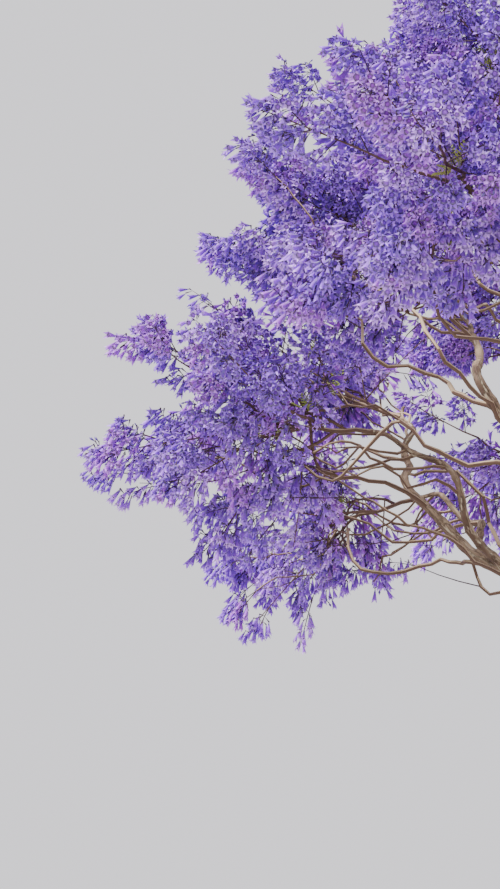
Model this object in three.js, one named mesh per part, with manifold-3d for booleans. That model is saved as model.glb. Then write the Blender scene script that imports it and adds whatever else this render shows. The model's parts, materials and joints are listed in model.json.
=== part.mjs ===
// A jacaranda in full blossom, bare of leaves, standing rooted in level ground.
// Millimetres, +Z up. The origin is the centre of the flat cut under the trunk.
//
// The trunk forks low into three leaders. Each leader carries wide boughs and runs on as one
// ascending bough. The boughs carry limbs, and each limb ends where it enters one mass of blossom.
// A mass is a stem with twigs, and each twig bears sprays of blossom, eight faces to a spray.

import * as THREE from "three";
import { mergeVertices } from "three/addons/utils/BufferGeometryUtils.js";
import Module from "manifold-3d";

const wasm = await Module();
wasm.setup();

// Driving dimensions, in millimetres and degrees.

const SEED = 11;
const GAP = 0.3;

const TRUNK = {
  height: 1900, leanX: 90, leanY: -50, wander: 0.022,
  footRadius: 212, waistRadius: 134, forkRadius: 112, flareHeight: 240,
  buttresses: 5, buttressDepth: 0.13, sides: 15, rings: 8,
};
// roots tells where on the trunk each leader starts.
const LEADER = {
  roots: [1, 0.93, 0.86], firstHeading: 231, reach: 520, height: 3250,
  rootRadius: 88, tipRadius: 60, wander: 0.045, endLift: 68, sides: 7, rings: 5,
};
// The first wide bough of a leader starts at firstRoot of it, and the others rootStep lower each.
const WIDE_BOUGH = {
  count: 7, firstHeading: 217, reach: 1330, height: 4350, firstRoot: 0.94, rootStep: 0.16,
  rootRadius: 45, tipRadius: 21, wander: 0.06, endLift: 48, sides: 6, rings: 5,
};
const RISING_BOUGH = {
  reach: 720, height: 5250,
  rootRadius: 57, tipRadius: 26, wander: 0.045, endLift: 78, sides: 6, rings: 6,
};
const LIMB = { rootRadius: 22, tipRadius: 10, wander: 0.07, sides: 5, rings: 3 };

// Each tier is a ring of masses. reach and height place their centres, spread and depth are a
// mass's half width and half height, and draw picks the ring's own random numbers. Its limbs
// start on a wide or a rising bough, at this share of it and atStep higher for each further one,
// and enter their masses at endLift.
const TIERS = [
  {
    name: "skirt", count: 7, firstHeading: 189.5, reach: 2200, height: 4539, draw: 698,
    spread: 950, depth: 700, bough: "wide", at: 0.7, atStep: 0, endLift: 0,
  },
  {
    name: "shoulder", count: 7, firstHeading: 211.8, reach: 1764, height: 5355, draw: 872,
    spread: 930, depth: 740, bough: "wide", at: 1, atStep: 0, endLift: 30,
  },
  {
    name: "upper", count: 6, firstHeading: 170.8, reach: 1236, height: 6310, draw: 428,
    spread: 840, depth: 680, bough: "rising", at: 0.74, atStep: 0.14, endLift: 52,
  },
  {
    name: "crest", count: 3, firstHeading: 229.8, reach: 720, height: 7060, draw: 330,
    spread: 740, depth: 600, bough: "rising", at: 1, atStep: 0, endLift: 80,
  },
];
// How far a mass strays from its place in the ring at most. size is a share of its size.
const UNEVEN = { heading: 9, reach: 160, height: 220, size: 0.14 };

// The crown's heart stays open: boughs and twigs run through this egg round the tree's axis, and
// no spray has its middle in it.
const HEART = { reach: 1598, height: 4000, rise: 1300 };

const MASS = {
  entry: 0.52, stemRun: 0.55, stemRadius: 12, twigs: 7, twigRadius: 8, narrowest: 15, widest: 95,
  spraysOnTwig: 4, spraySpacing: 0.27, sprayFan: 66, crowding: 357,
  sprayLength: 620, sprayWidth: 410, sunk: 0.05, margin: 10, clearance: 20,
};

const UP = new THREE.Vector3(0, 0, 1);
const GOLDEN_ANGLE = 137.508;

// Colours and finishes.

const BARK = { color: 0x8f7a66, roughness: 0.9, metalness: 0 };
const BLOSSOM_COLOURS = [0x7b6db4, 0x8a7cc4, 0x988ad2];

// A seeded stream of numbers from 0 up to 1.
function stream(...keys) {
  let state = keys.reduce((sum, key) => (Math.imul(sum, 31) + key) | 0, SEED);
  return () => {
    state = (state + 0x6d2b79f5) | 0;
    let mixed = Math.imul(state ^ (state >>> 15), 1 | state);
    mixed = (mixed + Math.imul(mixed ^ (mixed >>> 7), 61 | mixed)) ^ mixed;
    return ((mixed ^ (mixed >>> 14)) >>> 0) / 4294967296;
  };
}

const radians = THREE.MathUtils.degToRad;
const mix = THREE.MathUtils.lerp;

// The unit vector of a compass heading, lifted above the horizon.
function direction(heading, lift) {
  const [turn, rise] = [radians(heading), radians(lift)];
  const level = Math.cos(rise);
  return new THREE.Vector3(Math.cos(turn) * level, Math.sin(turn) * level, Math.sin(rise));
}

// A point at a heading, a distance from the tree's axis and a height.
function polar(heading, reach, height) {
  return direction(heading, 0).multiplyScalar(reach).setZ(height);
}

// Two unit vectors square to a direction and to each other.
function squareTo(along) {
  const reference = Math.abs(along.z) < 0.9 ? UP : new THREE.Vector3(1, 0, 0);
  const side = new THREE.Vector3().crossVectors(along, reference).normalize();
  return [side, new THREE.Vector3().crossVectors(along, side).normalize()];
}

// A crooked limb's centre line: one smooth curve between two points, with two waves across it
// that fade out at both ends, so that it leaves and arrives in the directions given.
class CrookedLine extends THREE.Curve {
  constructor(start, startAlong, end, endAlong, wander, random) {
    super();
    const chord = end.clone().sub(start);
    this.span = chord.length();
    const handle = 0.36 * this.span;
    this.base = new THREE.CubicBezierCurve3(
      start,
      start.clone().addScaledVector(startAlong, handle),
      end.clone().addScaledVector(endAlong, -handle),
      end,
    );
    this.ends = [startAlong, endAlong];
    [this.side, this.over] = squareTo(chord.normalize());
    this.swing = wander * this.span;
    this.crooks = mix(1.1, 1.9, random());
    this.phases = [random() * 2 * Math.PI, random() * 2 * Math.PI];
  }

  getPoint(t, target = new THREE.Vector3()) {
    this.base.getPoint(t, target);
    const fade = this.swing * Math.sin(Math.PI * t) ** 2;
    const turn = 2 * Math.PI * this.crooks * t;
    target.addScaledVector(this.side, fade * Math.sin(turn + this.phases[0]));
    return target.addScaledVector(this.over, 0.7 * fade * Math.sin(1.4 * turn + this.phases[1]));
  }

  getTangent(t, target = new THREE.Vector3()) {
    if (t <= 0) return target.copy(this.ends[0]);
    if (t >= 1) return target.copy(this.ends[1]);
    return target.copy(this.getPoint(t + 0.004)).sub(this.getPoint(t - 0.004)).normalize();
  }
}

// A limb's radius along its line, with a collar where it springs from its parent. The part that
// lies inside the parent is slimmer by a share.
function taper(rootRadius, tipRadius, span, collar, slimmer) {
  return (t) => {
    const run = (t * span) / rootRadius;
    const swelling = collar * rootRadius * Math.exp(-run / 1.6);
    const inside = 1 - slimmer * Math.exp(-((run / 1.1) ** 2));
    return (mix(tipRadius, rootRadius, (1 - t) ** 0.85) + swelling) * inside;
  };
}

// A closed tube: a cylinder with flat ends, bent along a line. swell makes it larger all round.
function bentCylinder(line, radiusAt, sides, rings, swell = 0) {
  const shape = new THREE.CylinderGeometry(1, 1, 1, sides, rings);
  shape.deleteAttribute("normal");
  shape.deleteAttribute("uv");
  const merged = mergeVertices(shape, 1e-4);
  const position = merged.getAttribute("position");
  const vertex = new THREE.Vector3();
  for (let i = 0; i < position.count; i++) {
    vertex.fromBufferAttribute(position, i);
    const t = THREE.MathUtils.clamp(vertex.y + 0.5, 0, 1);
    const along = line.getTangent(t);
    const side = line.side.clone().addScaledVector(along, -line.side.dot(along)).normalize();
    const over = new THREE.Vector3().crossVectors(side, along);
    const turn = Math.atan2(vertex.z, vertex.x);
    const radius = Math.hypot(vertex.x, vertex.z) < 0.5 ? 0 : radiusAt(t, turn) + swell;
    const point = line.getPoint(t);
    point.addScaledVector(side, radius * Math.cos(turn));
    point.addScaledVector(over, radius * Math.sin(turn));
    if (t === 0) point.addScaledVector(along, -swell);
    if (t === 1) point.addScaledVector(along, swell);
    position.setXYZ(i, point.x, point.y, point.z);
  }
  return merged;
}

// Solids for joining and cutting.

function solidOf(geometry) {
  const mesh = new wasm.Mesh({
    numProp: 3,
    vertProperties: new Float32Array(geometry.getAttribute("position").array),
    triVerts: new Uint32Array(geometry.index.array),
  });
  return new wasm.Manifold(mesh);
}

function geometryOf(solid) {
  const { vertProperties, triVerts } = solid.getMesh();
  const geometry = new THREE.BufferGeometry();
  geometry.setAttribute("position", new THREE.BufferAttribute(new Float32Array(vertProperties), 3));
  geometry.setIndex(new THREE.BufferAttribute(new Uint32Array(triVerts), 1));
  const faceted = geometry.toNonIndexed();
  faceted.computeVertexNormals();
  return faceted;
}

// The largest of a solid's separate bodies.
function largest(solid) {
  return solid.decompose().reduce((best, body) => (body.volume() > best.volume() ? body : best));
}

// The skeleton. A limb here is any woody piece: its name, line, radius and mesh size.

function limb(name, size, line, radiusAt) {
  return { name, line, radiusAt, sides: size.sides, rings: size.rings };
}

function growTrunk() {
  const top = new THREE.Vector3(TRUNK.leanX, TRUNK.leanY, TRUNK.height);
  const topAlong = new THREE.Vector3(TRUNK.leanX, TRUNK.leanY, TRUNK.height * 0.6).normalize();
  const line = new CrookedLine(new THREE.Vector3(), UP, top, topAlong, TRUNK.wander, stream(1));
  const radiusAt = (t, turn) => {
    const flare = Math.exp((-t * TRUNK.height) / TRUNK.flareHeight);
    const body = mix(TRUNK.waistRadius, TRUNK.forkRadius, t);
    const ridge = 1 + TRUNK.buttressDepth * flare * Math.cos(TRUNK.buttresses * turn);
    return (body + (TRUNK.footRadius - TRUNK.waistRadius) * flare) * ridge;
  };
  return limb("trunk", TRUNK, line, radiusAt);
}

// A limb that springs from a parent: from its tip, face to face, or from its side.
function branch(name, size, parent, at, end, endAlong, random) {
  const fromTip = at >= 1;
  const start = parent.line.getPoint(Math.min(at, 1));
  const parentAlong = parent.line.getTangent(Math.min(at, 1));
  const toEnd = end.clone().sub(start).normalize();
  const startAlong = fromTip ? parentAlong.clone() : parentAlong.clone().lerp(toEnd, 0.62).normalize();
  if (fromTip) start.addScaledVector(parentAlong, GAP);
  const line = new CrookedLine(start, startAlong, end, endAlong, size.wander, random);
  const [collar, slimmer] = fromTip ? [0.08, 0] : [0.3, 0.35];
  const radiusAt = taper(size.rootRadius, size.tipRadius, line.span, collar, slimmer);
  return limb(name, size, line, radiusAt);
}

function headingGap(a, b) {
  return Math.abs(((a - b + 540) % 360) - 180);
}

// The item whose heading is the nearest to the one given.
function nearest(items, heading) {
  const gapOf = (item) => headingGap(item.heading, heading);
  return items.reduce((best, item) => (gapOf(item) < gapOf(best) ? item : best));
}

function growLeaders(trunk) {
  return LEADER.roots.map((at, i) => {
    const heading = LEADER.firstHeading + (360 / LEADER.roots.length) * i;
    const end = polar(heading, LEADER.reach, LEADER.height);
    end.add(new THREE.Vector3(TRUNK.leanX, TRUNK.leanY, 0));
    const endAlong = direction(heading, LEADER.endLift);
    const made = branch(`leader_${i + 1}`, LEADER, trunk, at, end, endAlong, stream(2, i));
    return { ...made, heading, children: 0 };
  });
}

function growRisingBoughs(leaders) {
  return leaders.map((leader, i) => {
    const end = polar(leader.heading, RISING_BOUGH.reach, RISING_BOUGH.height);
    const endAlong = direction(leader.heading, RISING_BOUGH.endLift);
    const name = `rising_bough_${i + 1}`;
    const made = branch(name, RISING_BOUGH, leader, 1, end, endAlong, stream(3, i));
    return { ...made, heading: leader.heading, children: 0 };
  });
}

function growWideBoughs(leaders) {
  return Array.from({ length: WIDE_BOUGH.count }, (_, i) => {
    const heading = WIDE_BOUGH.firstHeading + (360 / WIDE_BOUGH.count) * i;
    const leader = nearest(leaders, heading);
    const at = WIDE_BOUGH.firstRoot - WIDE_BOUGH.rootStep * leader.children;
    leader.children += 1;
    const end = polar(heading, WIDE_BOUGH.reach, WIDE_BOUGH.height);
    const endAlong = direction(heading, WIDE_BOUGH.endLift);
    const name = `wide_bough_${i + 1}`;
    const made = branch(name, WIDE_BOUGH, leader, at, end, endAlong, stream(4, i));
    return { ...made, heading, children: 0 };
  });
}

// Where each mass is: its centre, its half sizes and the direction in which its stem enters.
function placeMasses() {
  return TIERS.flatMap((tier, rank) => {
    const random = stream(5, tier.draw);
    return Array.from({ length: tier.count }, (_, i) => {
      const heading = tier.firstHeading + (360 / tier.count) * i + UNEVEN.heading * (2 * random() - 1);
      const reach = tier.reach + UNEVEN.reach * (2 * random() - 1);
      const height = tier.height + UNEVEN.height * (2 * random() - 1);
      const growth = 1 + UNEVEN.size * (2 * random() - 1);
      const along = direction(heading, tier.endLift);
      const size = new THREE.Vector3(tier.spread, tier.spread, tier.depth).multiplyScalar(growth);
      const centre = polar(heading, reach, height);
      const entry = centre.clone().addScaledVector(along, -MASS.entry * reachOf(size, along));
      const serial = 10 * rank + i;
      return { name: `${tier.name}_${i + 1}`, tier, heading, along, size, centre, entry, serial };
    });
  });
}

// How far a mass reaches from its centre in a direction.
function reachOf(size, along) {
  return 1 / Math.hypot(along.x / size.x, along.y / size.y, along.z / size.z);
}

function growLimbs(masses, wideBoughs, risingBoughs) {
  return masses.map((mass) => {
    const bough = nearest(mass.tier.bough === "wide" ? wideBoughs : risingBoughs, mass.heading);
    const at = mass.tier.at + mass.tier.atStep * bough.children;
    if (mass.tier.atStep > 0) bough.children += 1;
    const name = `limb_${mass.name}`;
    return branch(name, LIMB, bough, at, mass.entry, mass.along, stream(6, mass.serial));
  });
}

// Blossom masses.

// How far a mass's own space runs from its centre in a direction: to its egg-shaped skin, or to
// the flat border half way to another mass.
function spaceReach(mass, masses, out) {
  const borders = masses.filter((other) => other !== mass).map((other) => {
    const apart = other.centre.clone().sub(mass.centre);
    const facing = out.dot(apart) / apart.length();
    return facing > 0 ? (apart.length() / 2 - MASS.margin) / facing : Infinity;
  });
  return Math.min(reachOf(mass.size, out), ...borders);
}

// True if a point lies in the mass's own space.
function inSpace(mass, masses, point) {
  const offset = point.clone().sub(mass.centre);
  return offset.length() <= spaceReach(mass, masses, offset.clone().normalize()) + 1;
}

// True if a point lies in the crown's heart.
function inHeart({ x, y, z }) {
  const height = (z - HEART.height) / HEART.rise;
  return Math.hypot(x / HEART.reach, y / HEART.reach, height) < 1;
}

// A spray is an eight-faced bud shape, long in one direction, with its root tip sunk in its twig.
function spray(root, along, scale) {
  const half = new THREE.Vector3(MASS.sprayWidth, MASS.sprayWidth, MASS.sprayLength);
  half.multiplyScalar(scale / 2);
  const centre = root.clone().addScaledVector(along, half.z * (1 - 2 * MASS.sunk));
  const axes = [...squareTo(along), along];
  const corners = axes.flatMap((axis, i) => [1, -1].map((sign) => (
    centre.clone().addScaledVector(axis, sign * half.getComponent(i))
  )));
  return { centre, axes, half, corners };
}

// True if a spray keeps a clear distance to a ball.
function sprayClears(made, ball) {
  const offset = ball.point.clone().sub(made.centre);
  const sizes = made.half.toArray();
  const inside = made.axes.reduce((sum, axis, i) => sum + Math.abs(offset.dot(axis)) / sizes[i], 0);
  return inside > 1 + (ball.radius + MASS.clearance) * Math.hypot(...sizes.map((size) => 1 / size));
}

function sprayGeometry(made) {
  const shape = new THREE.OctahedronGeometry(1, 0);
  shape.deleteAttribute("normal");
  shape.deleteAttribute("uv");
  const merged = mergeVertices(shape, 1e-4);
  merged.scale(...made.half.toArray());
  merged.applyMatrix4(new THREE.Matrix4().makeBasis(...made.axes).setPosition(made.centre));
  return merged;
}

// True if a twig keeps clear of all the wood near it.
function twigClears(line, near) {
  return [0.35, 0.7, 1].every((t) => {
    const point = line.getPoint(t);
    return near.every((ball) => ball.point.distanceTo(point) > ball.radius + 2 * MASS.clearance);
  });
}

// The twigs of a mass: from points along its stem, fanned round it by the golden angle, the
// first ones swept out and back and the last ones nearly straight on.
function growMass(mass, masses, woodBalls) {
  const random = stream(7, mass.serial);
  const stemStart = mass.entry.clone().addScaledVector(mass.along, GAP);
  const stemRun = MASS.stemRun * reachOf(mass.size, mass.along);
  const stemEnd = mass.entry.clone().addScaledVector(mass.along, stemRun);
  const stem = new CrookedLine(stemStart, mass.along, stemEnd, mass.along, 0.02, random);
  const [side, over] = squareTo(mass.along);
  const firstTurn = random() * 360;
  const range = mass.size.x + 200;
  const near = woodBalls.filter((ball) => ball.point.distanceTo(mass.centre) < range);
  const twigs = [];
  const sprays = [];
  for (let i = 0; i < MASS.twigs; i++) {
    const share = i / (MASS.twigs - 1);
    const turn = radians(firstTurn + GOLDEN_ANGLE * i);
    const spin = mix(Math.cos(radians(MASS.widest)), Math.cos(radians(MASS.narrowest)), share);
    const open = Math.acos(spin) + radians(6 * (2 * random() - 1));
    const out = mass.along.clone().multiplyScalar(Math.cos(open));
    out.addScaledVector(side, Math.sin(open) * Math.cos(turn));
    out.addScaledVector(over, Math.sin(open) * Math.sin(turn));
    const reach = spaceReach(mass, masses, out);
    const run = Math.max(0.3 * reach, reach - 0.92 * MASS.sprayLength);
    const end = mass.centre.clone().addScaledVector(out, run);
    const start = stem.getPoint(mix(0.2, 0.9, share));
    const startAlong = mass.along.clone().lerp(out, 0.5).normalize();
    const endAlong = end.clone().sub(start).normalize().lerp(out, 0.4).normalize();
    const line = new CrookedLine(start, startAlong, end, endAlong, 0.04, random);
    const uncrowded = (made) => sprays.every((other) => (
      other.centre.distanceTo(made.centre) > MASS.crowding
    ));
    const borne = twigSprays(mass, masses, near, line, random).filter(uncrowded);
    if (!twigClears(line, near) || !borne.length) continue;
    twigs.push(line);
    sprays.push(...borne);
  }
  return { stem, twigs, sprays };
}

// The sprays on a twig: one on its tip and the others out of its sides by turns. A spray that
// would leave the mass's space or touch a limb is made smaller, and then skipped, as one in the
// heart is.
function twigSprays(mass, masses, near, line, random) {
  const firstTurn = random() * 360;
  return Array.from({ length: MASS.spraysOnTwig }, (_, i) => {
    const t = 1 - MASS.spraySpacing * i;
    const along = line.getTangent(t);
    const [side, over] = squareTo(along);
    const turn = radians(firstTurn + 180 * i);
    const fan = i === 0 ? 0 : radians(MASS.sprayFan * mix(0.8, 1.2, random()));
    const lean = side.multiplyScalar(Math.cos(turn)).addScaledVector(over, Math.sin(turn));
    const out = along.clone().multiplyScalar(Math.cos(fan)).addScaledVector(lean, Math.sin(fan));
    const fullSize = mix(0.9, 1.1, random());
    const fits = (made) => made.corners.every((corner) => inSpace(mass, masses, corner))
      && near.every((ball) => sprayClears(made, ball));
    return [1, 0.85, 0.7].map((share) => spray(line.getPoint(t), out, share * fullSize)).find(fits);
  }).filter((made) => made && !inHeart(made.centre));
}

function massSolid(mass, masses, woodBalls) {
  const { stem, twigs, sprays } = growMass(mass, masses, woodBalls);
  const pieces = [bentCylinder(stem, (t) => mix(MASS.stemRadius, MASS.twigRadius, t), 4, 1)];
  pieces.push(...twigs.map((line) => bentCylinder(line, (t) => mix(MASS.twigRadius, 5, t), 3, 2)));
  pieces.push(...sprays.map(sprayGeometry));
  return largest(pieces.map(solidOf).reduce((whole, piece) => whole.add(piece)));
}

// Assembly.

// Balls strung along every woody piece, for keeping twigs and sprays clear of them.
function ballsAlong(limbs) {
  return limbs.flatMap((each) => {
    const count = Math.ceil(each.line.span / 45);
    return Array.from({ length: count + 1 }, (_, i) => ({
      point: each.line.getPoint(i / count),
      radius: each.radiusAt(i / count, 0),
    }));
  });
}

function woodSolid(each, swell) {
  return solidOf(bentCylinder(each.line, each.radiusAt, each.sides, each.rings, swell));
}

// Each woody piece as a solid, cut clear of those that were made before it where they come close.
function cutApart(limbs) {
  const made = [];
  for (const each of limbs) {
    let solid = woodSolid(each, 0);
    for (const earlier of made) {
      if (solid.minGap(earlier.solid, 1) > GAP) continue;
      solid = solid.subtract(woodSolid(earlier.limb, 1.2 * GAP));
    }
    made.push({ limb: each, solid: largest(solid) });
  }
  return made;
}

function mesh(name, solid, finish) {
  const material = new THREE.MeshStandardMaterial({ ...finish, flatShading: true });
  const made = new THREE.Mesh(geometryOf(solid), material);
  made.name = name;
  return made;
}

function build() {
  const trunk = growTrunk();
  const leaders = growLeaders(trunk);
  const risingBoughs = growRisingBoughs(leaders);
  const wideBoughs = growWideBoughs(leaders);
  const masses = placeMasses();
  const limbs = growLimbs(masses, wideBoughs, risingBoughs);
  const wood = [trunk, ...leaders, ...risingBoughs, ...wideBoughs, ...limbs];
  const woodBalls = ballsAlong(wood);

  const tree = new THREE.Group();
  tree.name = "jacaranda_tree";
  for (const piece of cutApart(wood)) tree.add(mesh(piece.limb.name, piece.solid, BARK));
  masses.forEach((mass, i) => {
    const color = BLOSSOM_COLOURS[i % BLOSSOM_COLOURS.length];
    const finish = { color, roughness: 0.6, metalness: 0 };
    tree.add(mesh(`blossom_${mass.name}`, massSolid(mass, masses, woodBalls), finish));
  });
  return tree;
}

export default build();
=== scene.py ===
"""A jacaranda in full blossom: bark, twigs, panicles of flowers and a few young leaves.

The limbs and the blossom masses grow by the same rule as the part's solids. Their rule works in
millimetres, and the meshes are in metres.
"""

import json
import logging
import math
from collections.abc import Callable, Sequence
from dataclasses import dataclass, field
from enum import Enum, IntEnum

import bpy
import numpy as np
from mathutils import Euler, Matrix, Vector, noise

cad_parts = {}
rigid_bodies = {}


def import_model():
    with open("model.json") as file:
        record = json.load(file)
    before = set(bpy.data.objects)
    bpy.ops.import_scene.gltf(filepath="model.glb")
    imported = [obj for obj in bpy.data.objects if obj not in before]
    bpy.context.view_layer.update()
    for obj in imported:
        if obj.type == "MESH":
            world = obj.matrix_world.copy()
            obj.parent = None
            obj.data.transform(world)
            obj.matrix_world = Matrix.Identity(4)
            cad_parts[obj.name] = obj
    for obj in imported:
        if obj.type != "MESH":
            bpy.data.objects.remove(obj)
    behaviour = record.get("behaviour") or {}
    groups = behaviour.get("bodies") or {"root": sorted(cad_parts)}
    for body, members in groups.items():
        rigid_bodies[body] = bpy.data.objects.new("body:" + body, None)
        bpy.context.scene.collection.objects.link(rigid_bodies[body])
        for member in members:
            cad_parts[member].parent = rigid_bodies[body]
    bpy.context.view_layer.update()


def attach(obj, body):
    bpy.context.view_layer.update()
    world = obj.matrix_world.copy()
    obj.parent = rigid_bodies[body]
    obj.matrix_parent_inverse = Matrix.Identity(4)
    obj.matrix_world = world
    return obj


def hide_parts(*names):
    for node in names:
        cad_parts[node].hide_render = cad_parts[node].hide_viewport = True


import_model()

Array = np.ndarray
Tree = bpy.types.NodeTree
Socket = bpy.types.NodeSocket
Random = np.random.Generator
Stream = Callable[[], float]
Range = tuple[float, float]
Steps = tuple[float, ...]
Pair = tuple[Array, Array]
Piece = bpy.types.Object
LOG = logging.getLogger("jacaranda")
MM = 0.001
UP = np.array([0.0, 0.0, 1.0])
ROUND = 2 * math.pi
GOLDEN_ANGLE = 137.508


# The seeded rule of the solids.


SEED = 11
GAP = 0.3


class Draw(IntEnum):
    """What each stream of random numbers is for."""

    TRUNK = 1
    LEADERS = 2
    RISING_BOUGHS = 3
    WIDE_BOUGHS = 4
    PLACES = 5
    LIMBS = 6
    TWIGS = 7
    KNOTS = 8


@dataclass(frozen=True)
class LimbKind:
    """What a kind of limb shares: its stream, its sizes in millimetres and its lift in degrees."""

    name: str
    draw: Draw
    root_radius: float
    tip_radius: float
    wander: float
    sides: int
    rings: int
    reach: float = 0.0
    height: float = 0.0
    end_lift: float = 0.0


@dataclass(frozen=True)
class TrunkKind:
    """The trunk's sizes, in millimetres. steepness is how upright it ends."""

    height: float = 1900
    lean: Range = (90, -50)
    steepness: float = 0.6
    wander: float = 0.022
    foot_radius: float = 212
    waist_radius: float = 134
    fork_radius: float = 112
    flare_height: float = 240
    buttresses: int = 5
    buttress_depth: float = 0.13
    sides: int = 80
    rings: int = 150


@dataclass(frozen=True)
class Crook:
    """How a limb bends. The handles and the step are shares of its line."""

    handle: float = 0.36
    waves: Range = (1.1, 1.9)
    second_swing: float = 0.7
    second_pitch: float = 1.4
    step: float = 0.004


@dataclass(frozen=True)
class Start:
    """How a limb starts: its collar, and how much slimmer it is inside its parent."""

    collar: float
    slimmer: float


@dataclass(frozen=True)
class Tier:
    """One ring of blossom masses, in millimetres and degrees."""

    name: str
    count: int
    first_heading: float
    reach: float
    height: float
    draw: int
    spread: float
    depth: float
    on_wide_bough: bool
    at: float
    at_step: float
    end_lift: float


@dataclass(frozen=True)
class MassRule:
    """How a blossom mass grows in its own space, in millimetres and degrees."""

    entry: float = 0.52
    stem_run: float = 0.55
    stem_wander: float = 0.02
    nearby: float = 200
    twigs: int = 7
    twig_roots: Range = (0.2, 0.9)
    twig_wander: float = 0.04
    twig_tip: float = 0.92
    shortest_twig: float = 0.3
    leaves_outward: float = 0.5
    ends_outward: float = 0.4
    narrowest: float = 15
    widest: float = 95
    wobble: float = 6
    probes: Steps = (0.35, 0.7, 1)
    sprays_on_twig: int = 4
    spray_spacing: float = 0.27
    spray_fan: float = 66
    fan_range: Range = (0.8, 1.2)
    size_range: Range = (0.9, 1.1)
    spray_scales: Steps = (1, 0.85, 0.7)
    crowding: float = 357
    spray_length: float = 620
    spray_width: float = 410
    sunk: float = 0.05
    margin: float = 10
    clearance: float = 20


CROOK = Crook()
ON_TIP = Start(0.08, 0)
ON_SIDE = Start(0.3, 0.35)
COLLAR_RUN = 1.6
INSIDE_RUN = 1.1
TAPER_BEND = 0.85
SIDE_TURN = 0.62
BALL_SPACING = 45
TRUNK = TrunkKind()
LEADER = LimbKind("leader", Draw.LEADERS, 88, 60, 0.045, 40, 90, 520, 3250, 68)
LEADER_ROOTS = (1, 0.93, 0.86)
LEADER_HEADING = 231
RISING_BOUGH = LimbKind("rising_bough", Draw.RISING_BOUGHS, 57, 26, 0.045, 24, 110, 720, 5250, 78)
WIDE_BOUGH = LimbKind("wide_bough", Draw.WIDE_BOUGHS, 45, 21, 0.06, 22, 100, 1330, 4350, 48)
WIDE_BOUGHS = 7
WIDE_BOUGH_HEADING = 217
WIDE_BOUGH_ROOTS = (0.94, 0.16)
LIMB = LimbKind("limb", Draw.LIMBS, 22, 10, 0.07, 14, 84)
MASS = MassRule()
HEART = {"reach": 1598, "height": 4000, "rise": 1300}
UNEVEN = {"heading": 9, "reach": 160, "height": 220, "size": 0.14}
TIERS = (
    Tier("skirt", 7, 189.5, 2200, 4539, 698, 950, 700, True, 0.7, 0, 0),
    Tier("shoulder", 7, 211.8, 1764, 5355, 872, 930, 740, True, 1, 0, 30),
    Tier("upper", 6, 170.8, 1236, 6310, 428, 840, 680, False, 0.74, 0.14, 52),
    Tier("crest", 3, 229.8, 720, 7060, 330, 740, 600, False, 1, 0, 80),
)


def signed(value: int) -> int:
    """A whole number wrapped to 32 bits with a sign."""
    value &= 0xFFFFFFFF
    return value - (1 << 32) if value >= 1 << 31 else value


def stream(*keys: int) -> Stream:
    """A seeded stream of numbers from 0 up to 1.

    Args:
        keys: What the stream is for. The same keys give the same numbers.

    Returns:
        A function that gives the next number.
    """
    state = SEED
    for key in keys:
        state = signed(signed(state * 31) + key)

    def draw() -> float:
        """The next number, from 0 up to 1."""
        nonlocal state
        state = signed(state + 0x6D2B79F5)
        plain = state & 0xFFFFFFFF
        mixed = signed((plain ^ (plain >> 15)) * (1 | plain)) & 0xFFFFFFFF
        stirred = signed((mixed ^ (mixed >> 7)) * (61 | mixed))
        mixed = (signed(mixed + stirred) & 0xFFFFFFFF) ^ mixed
        return (mixed ^ (mixed >> 14)) / 4294967296

    return draw


def mix(low: float, high: float, share: float) -> float:
    """The value at a share of the way from low to high."""
    return low + (high - low) * share


def unit(vector: Array) -> Array:
    """Vectors of length 1 along the ones given."""
    return vector / np.linalg.norm(vector, axis=-1, keepdims=True)


def direction(heading: float, lift: float) -> Array:
    """The unit vector of a compass heading in degrees, lifted above the horizon."""
    turn, rise = math.radians(heading), math.radians(lift)
    level = math.cos(rise)
    return np.array([math.cos(turn) * level, math.sin(turn) * level, math.sin(rise)])


def polar(heading: float, reach: float, height: float) -> Array:
    """A point at a heading, a distance from the tree's axis and a height."""
    return direction(heading, 0) * reach + UP * height


def square_to(along: Array) -> Pair:
    """Two unit vectors square to a direction and to each other."""
    reference = UP if abs(along[2]) < 0.9 else np.array([1.0, 0.0, 0.0])
    side = unit(np.cross(along, reference))
    return side, unit(np.cross(along, side))


def fan_out(axes: Sequence[Array], turn: float, fan: float) -> Array:
    """A direction at an angle off the third axis, turned round it from the first."""
    side, over, along = axes
    lean = side * math.cos(turn) + over * math.sin(turn)
    return along * math.cos(fan) + lean * math.sin(fan)


def around(along: Array, turn: Array) -> Array:
    """Unit vectors square to a direction, at these angles round it."""
    side, over = square_to(along)
    return side * np.cos(turn)[:, None] + over * np.sin(turn)[:, None]


def even_turns(count: int) -> Array:
    """This many angles, evenly round a circle."""
    return np.arange(count) / count * 2 * np.pi


def circle(turn: Array) -> Array:
    """The points of the level unit circle at these angles."""
    return np.stack([np.cos(turn), np.sin(turn), 0 * turn], axis=1)


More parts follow.
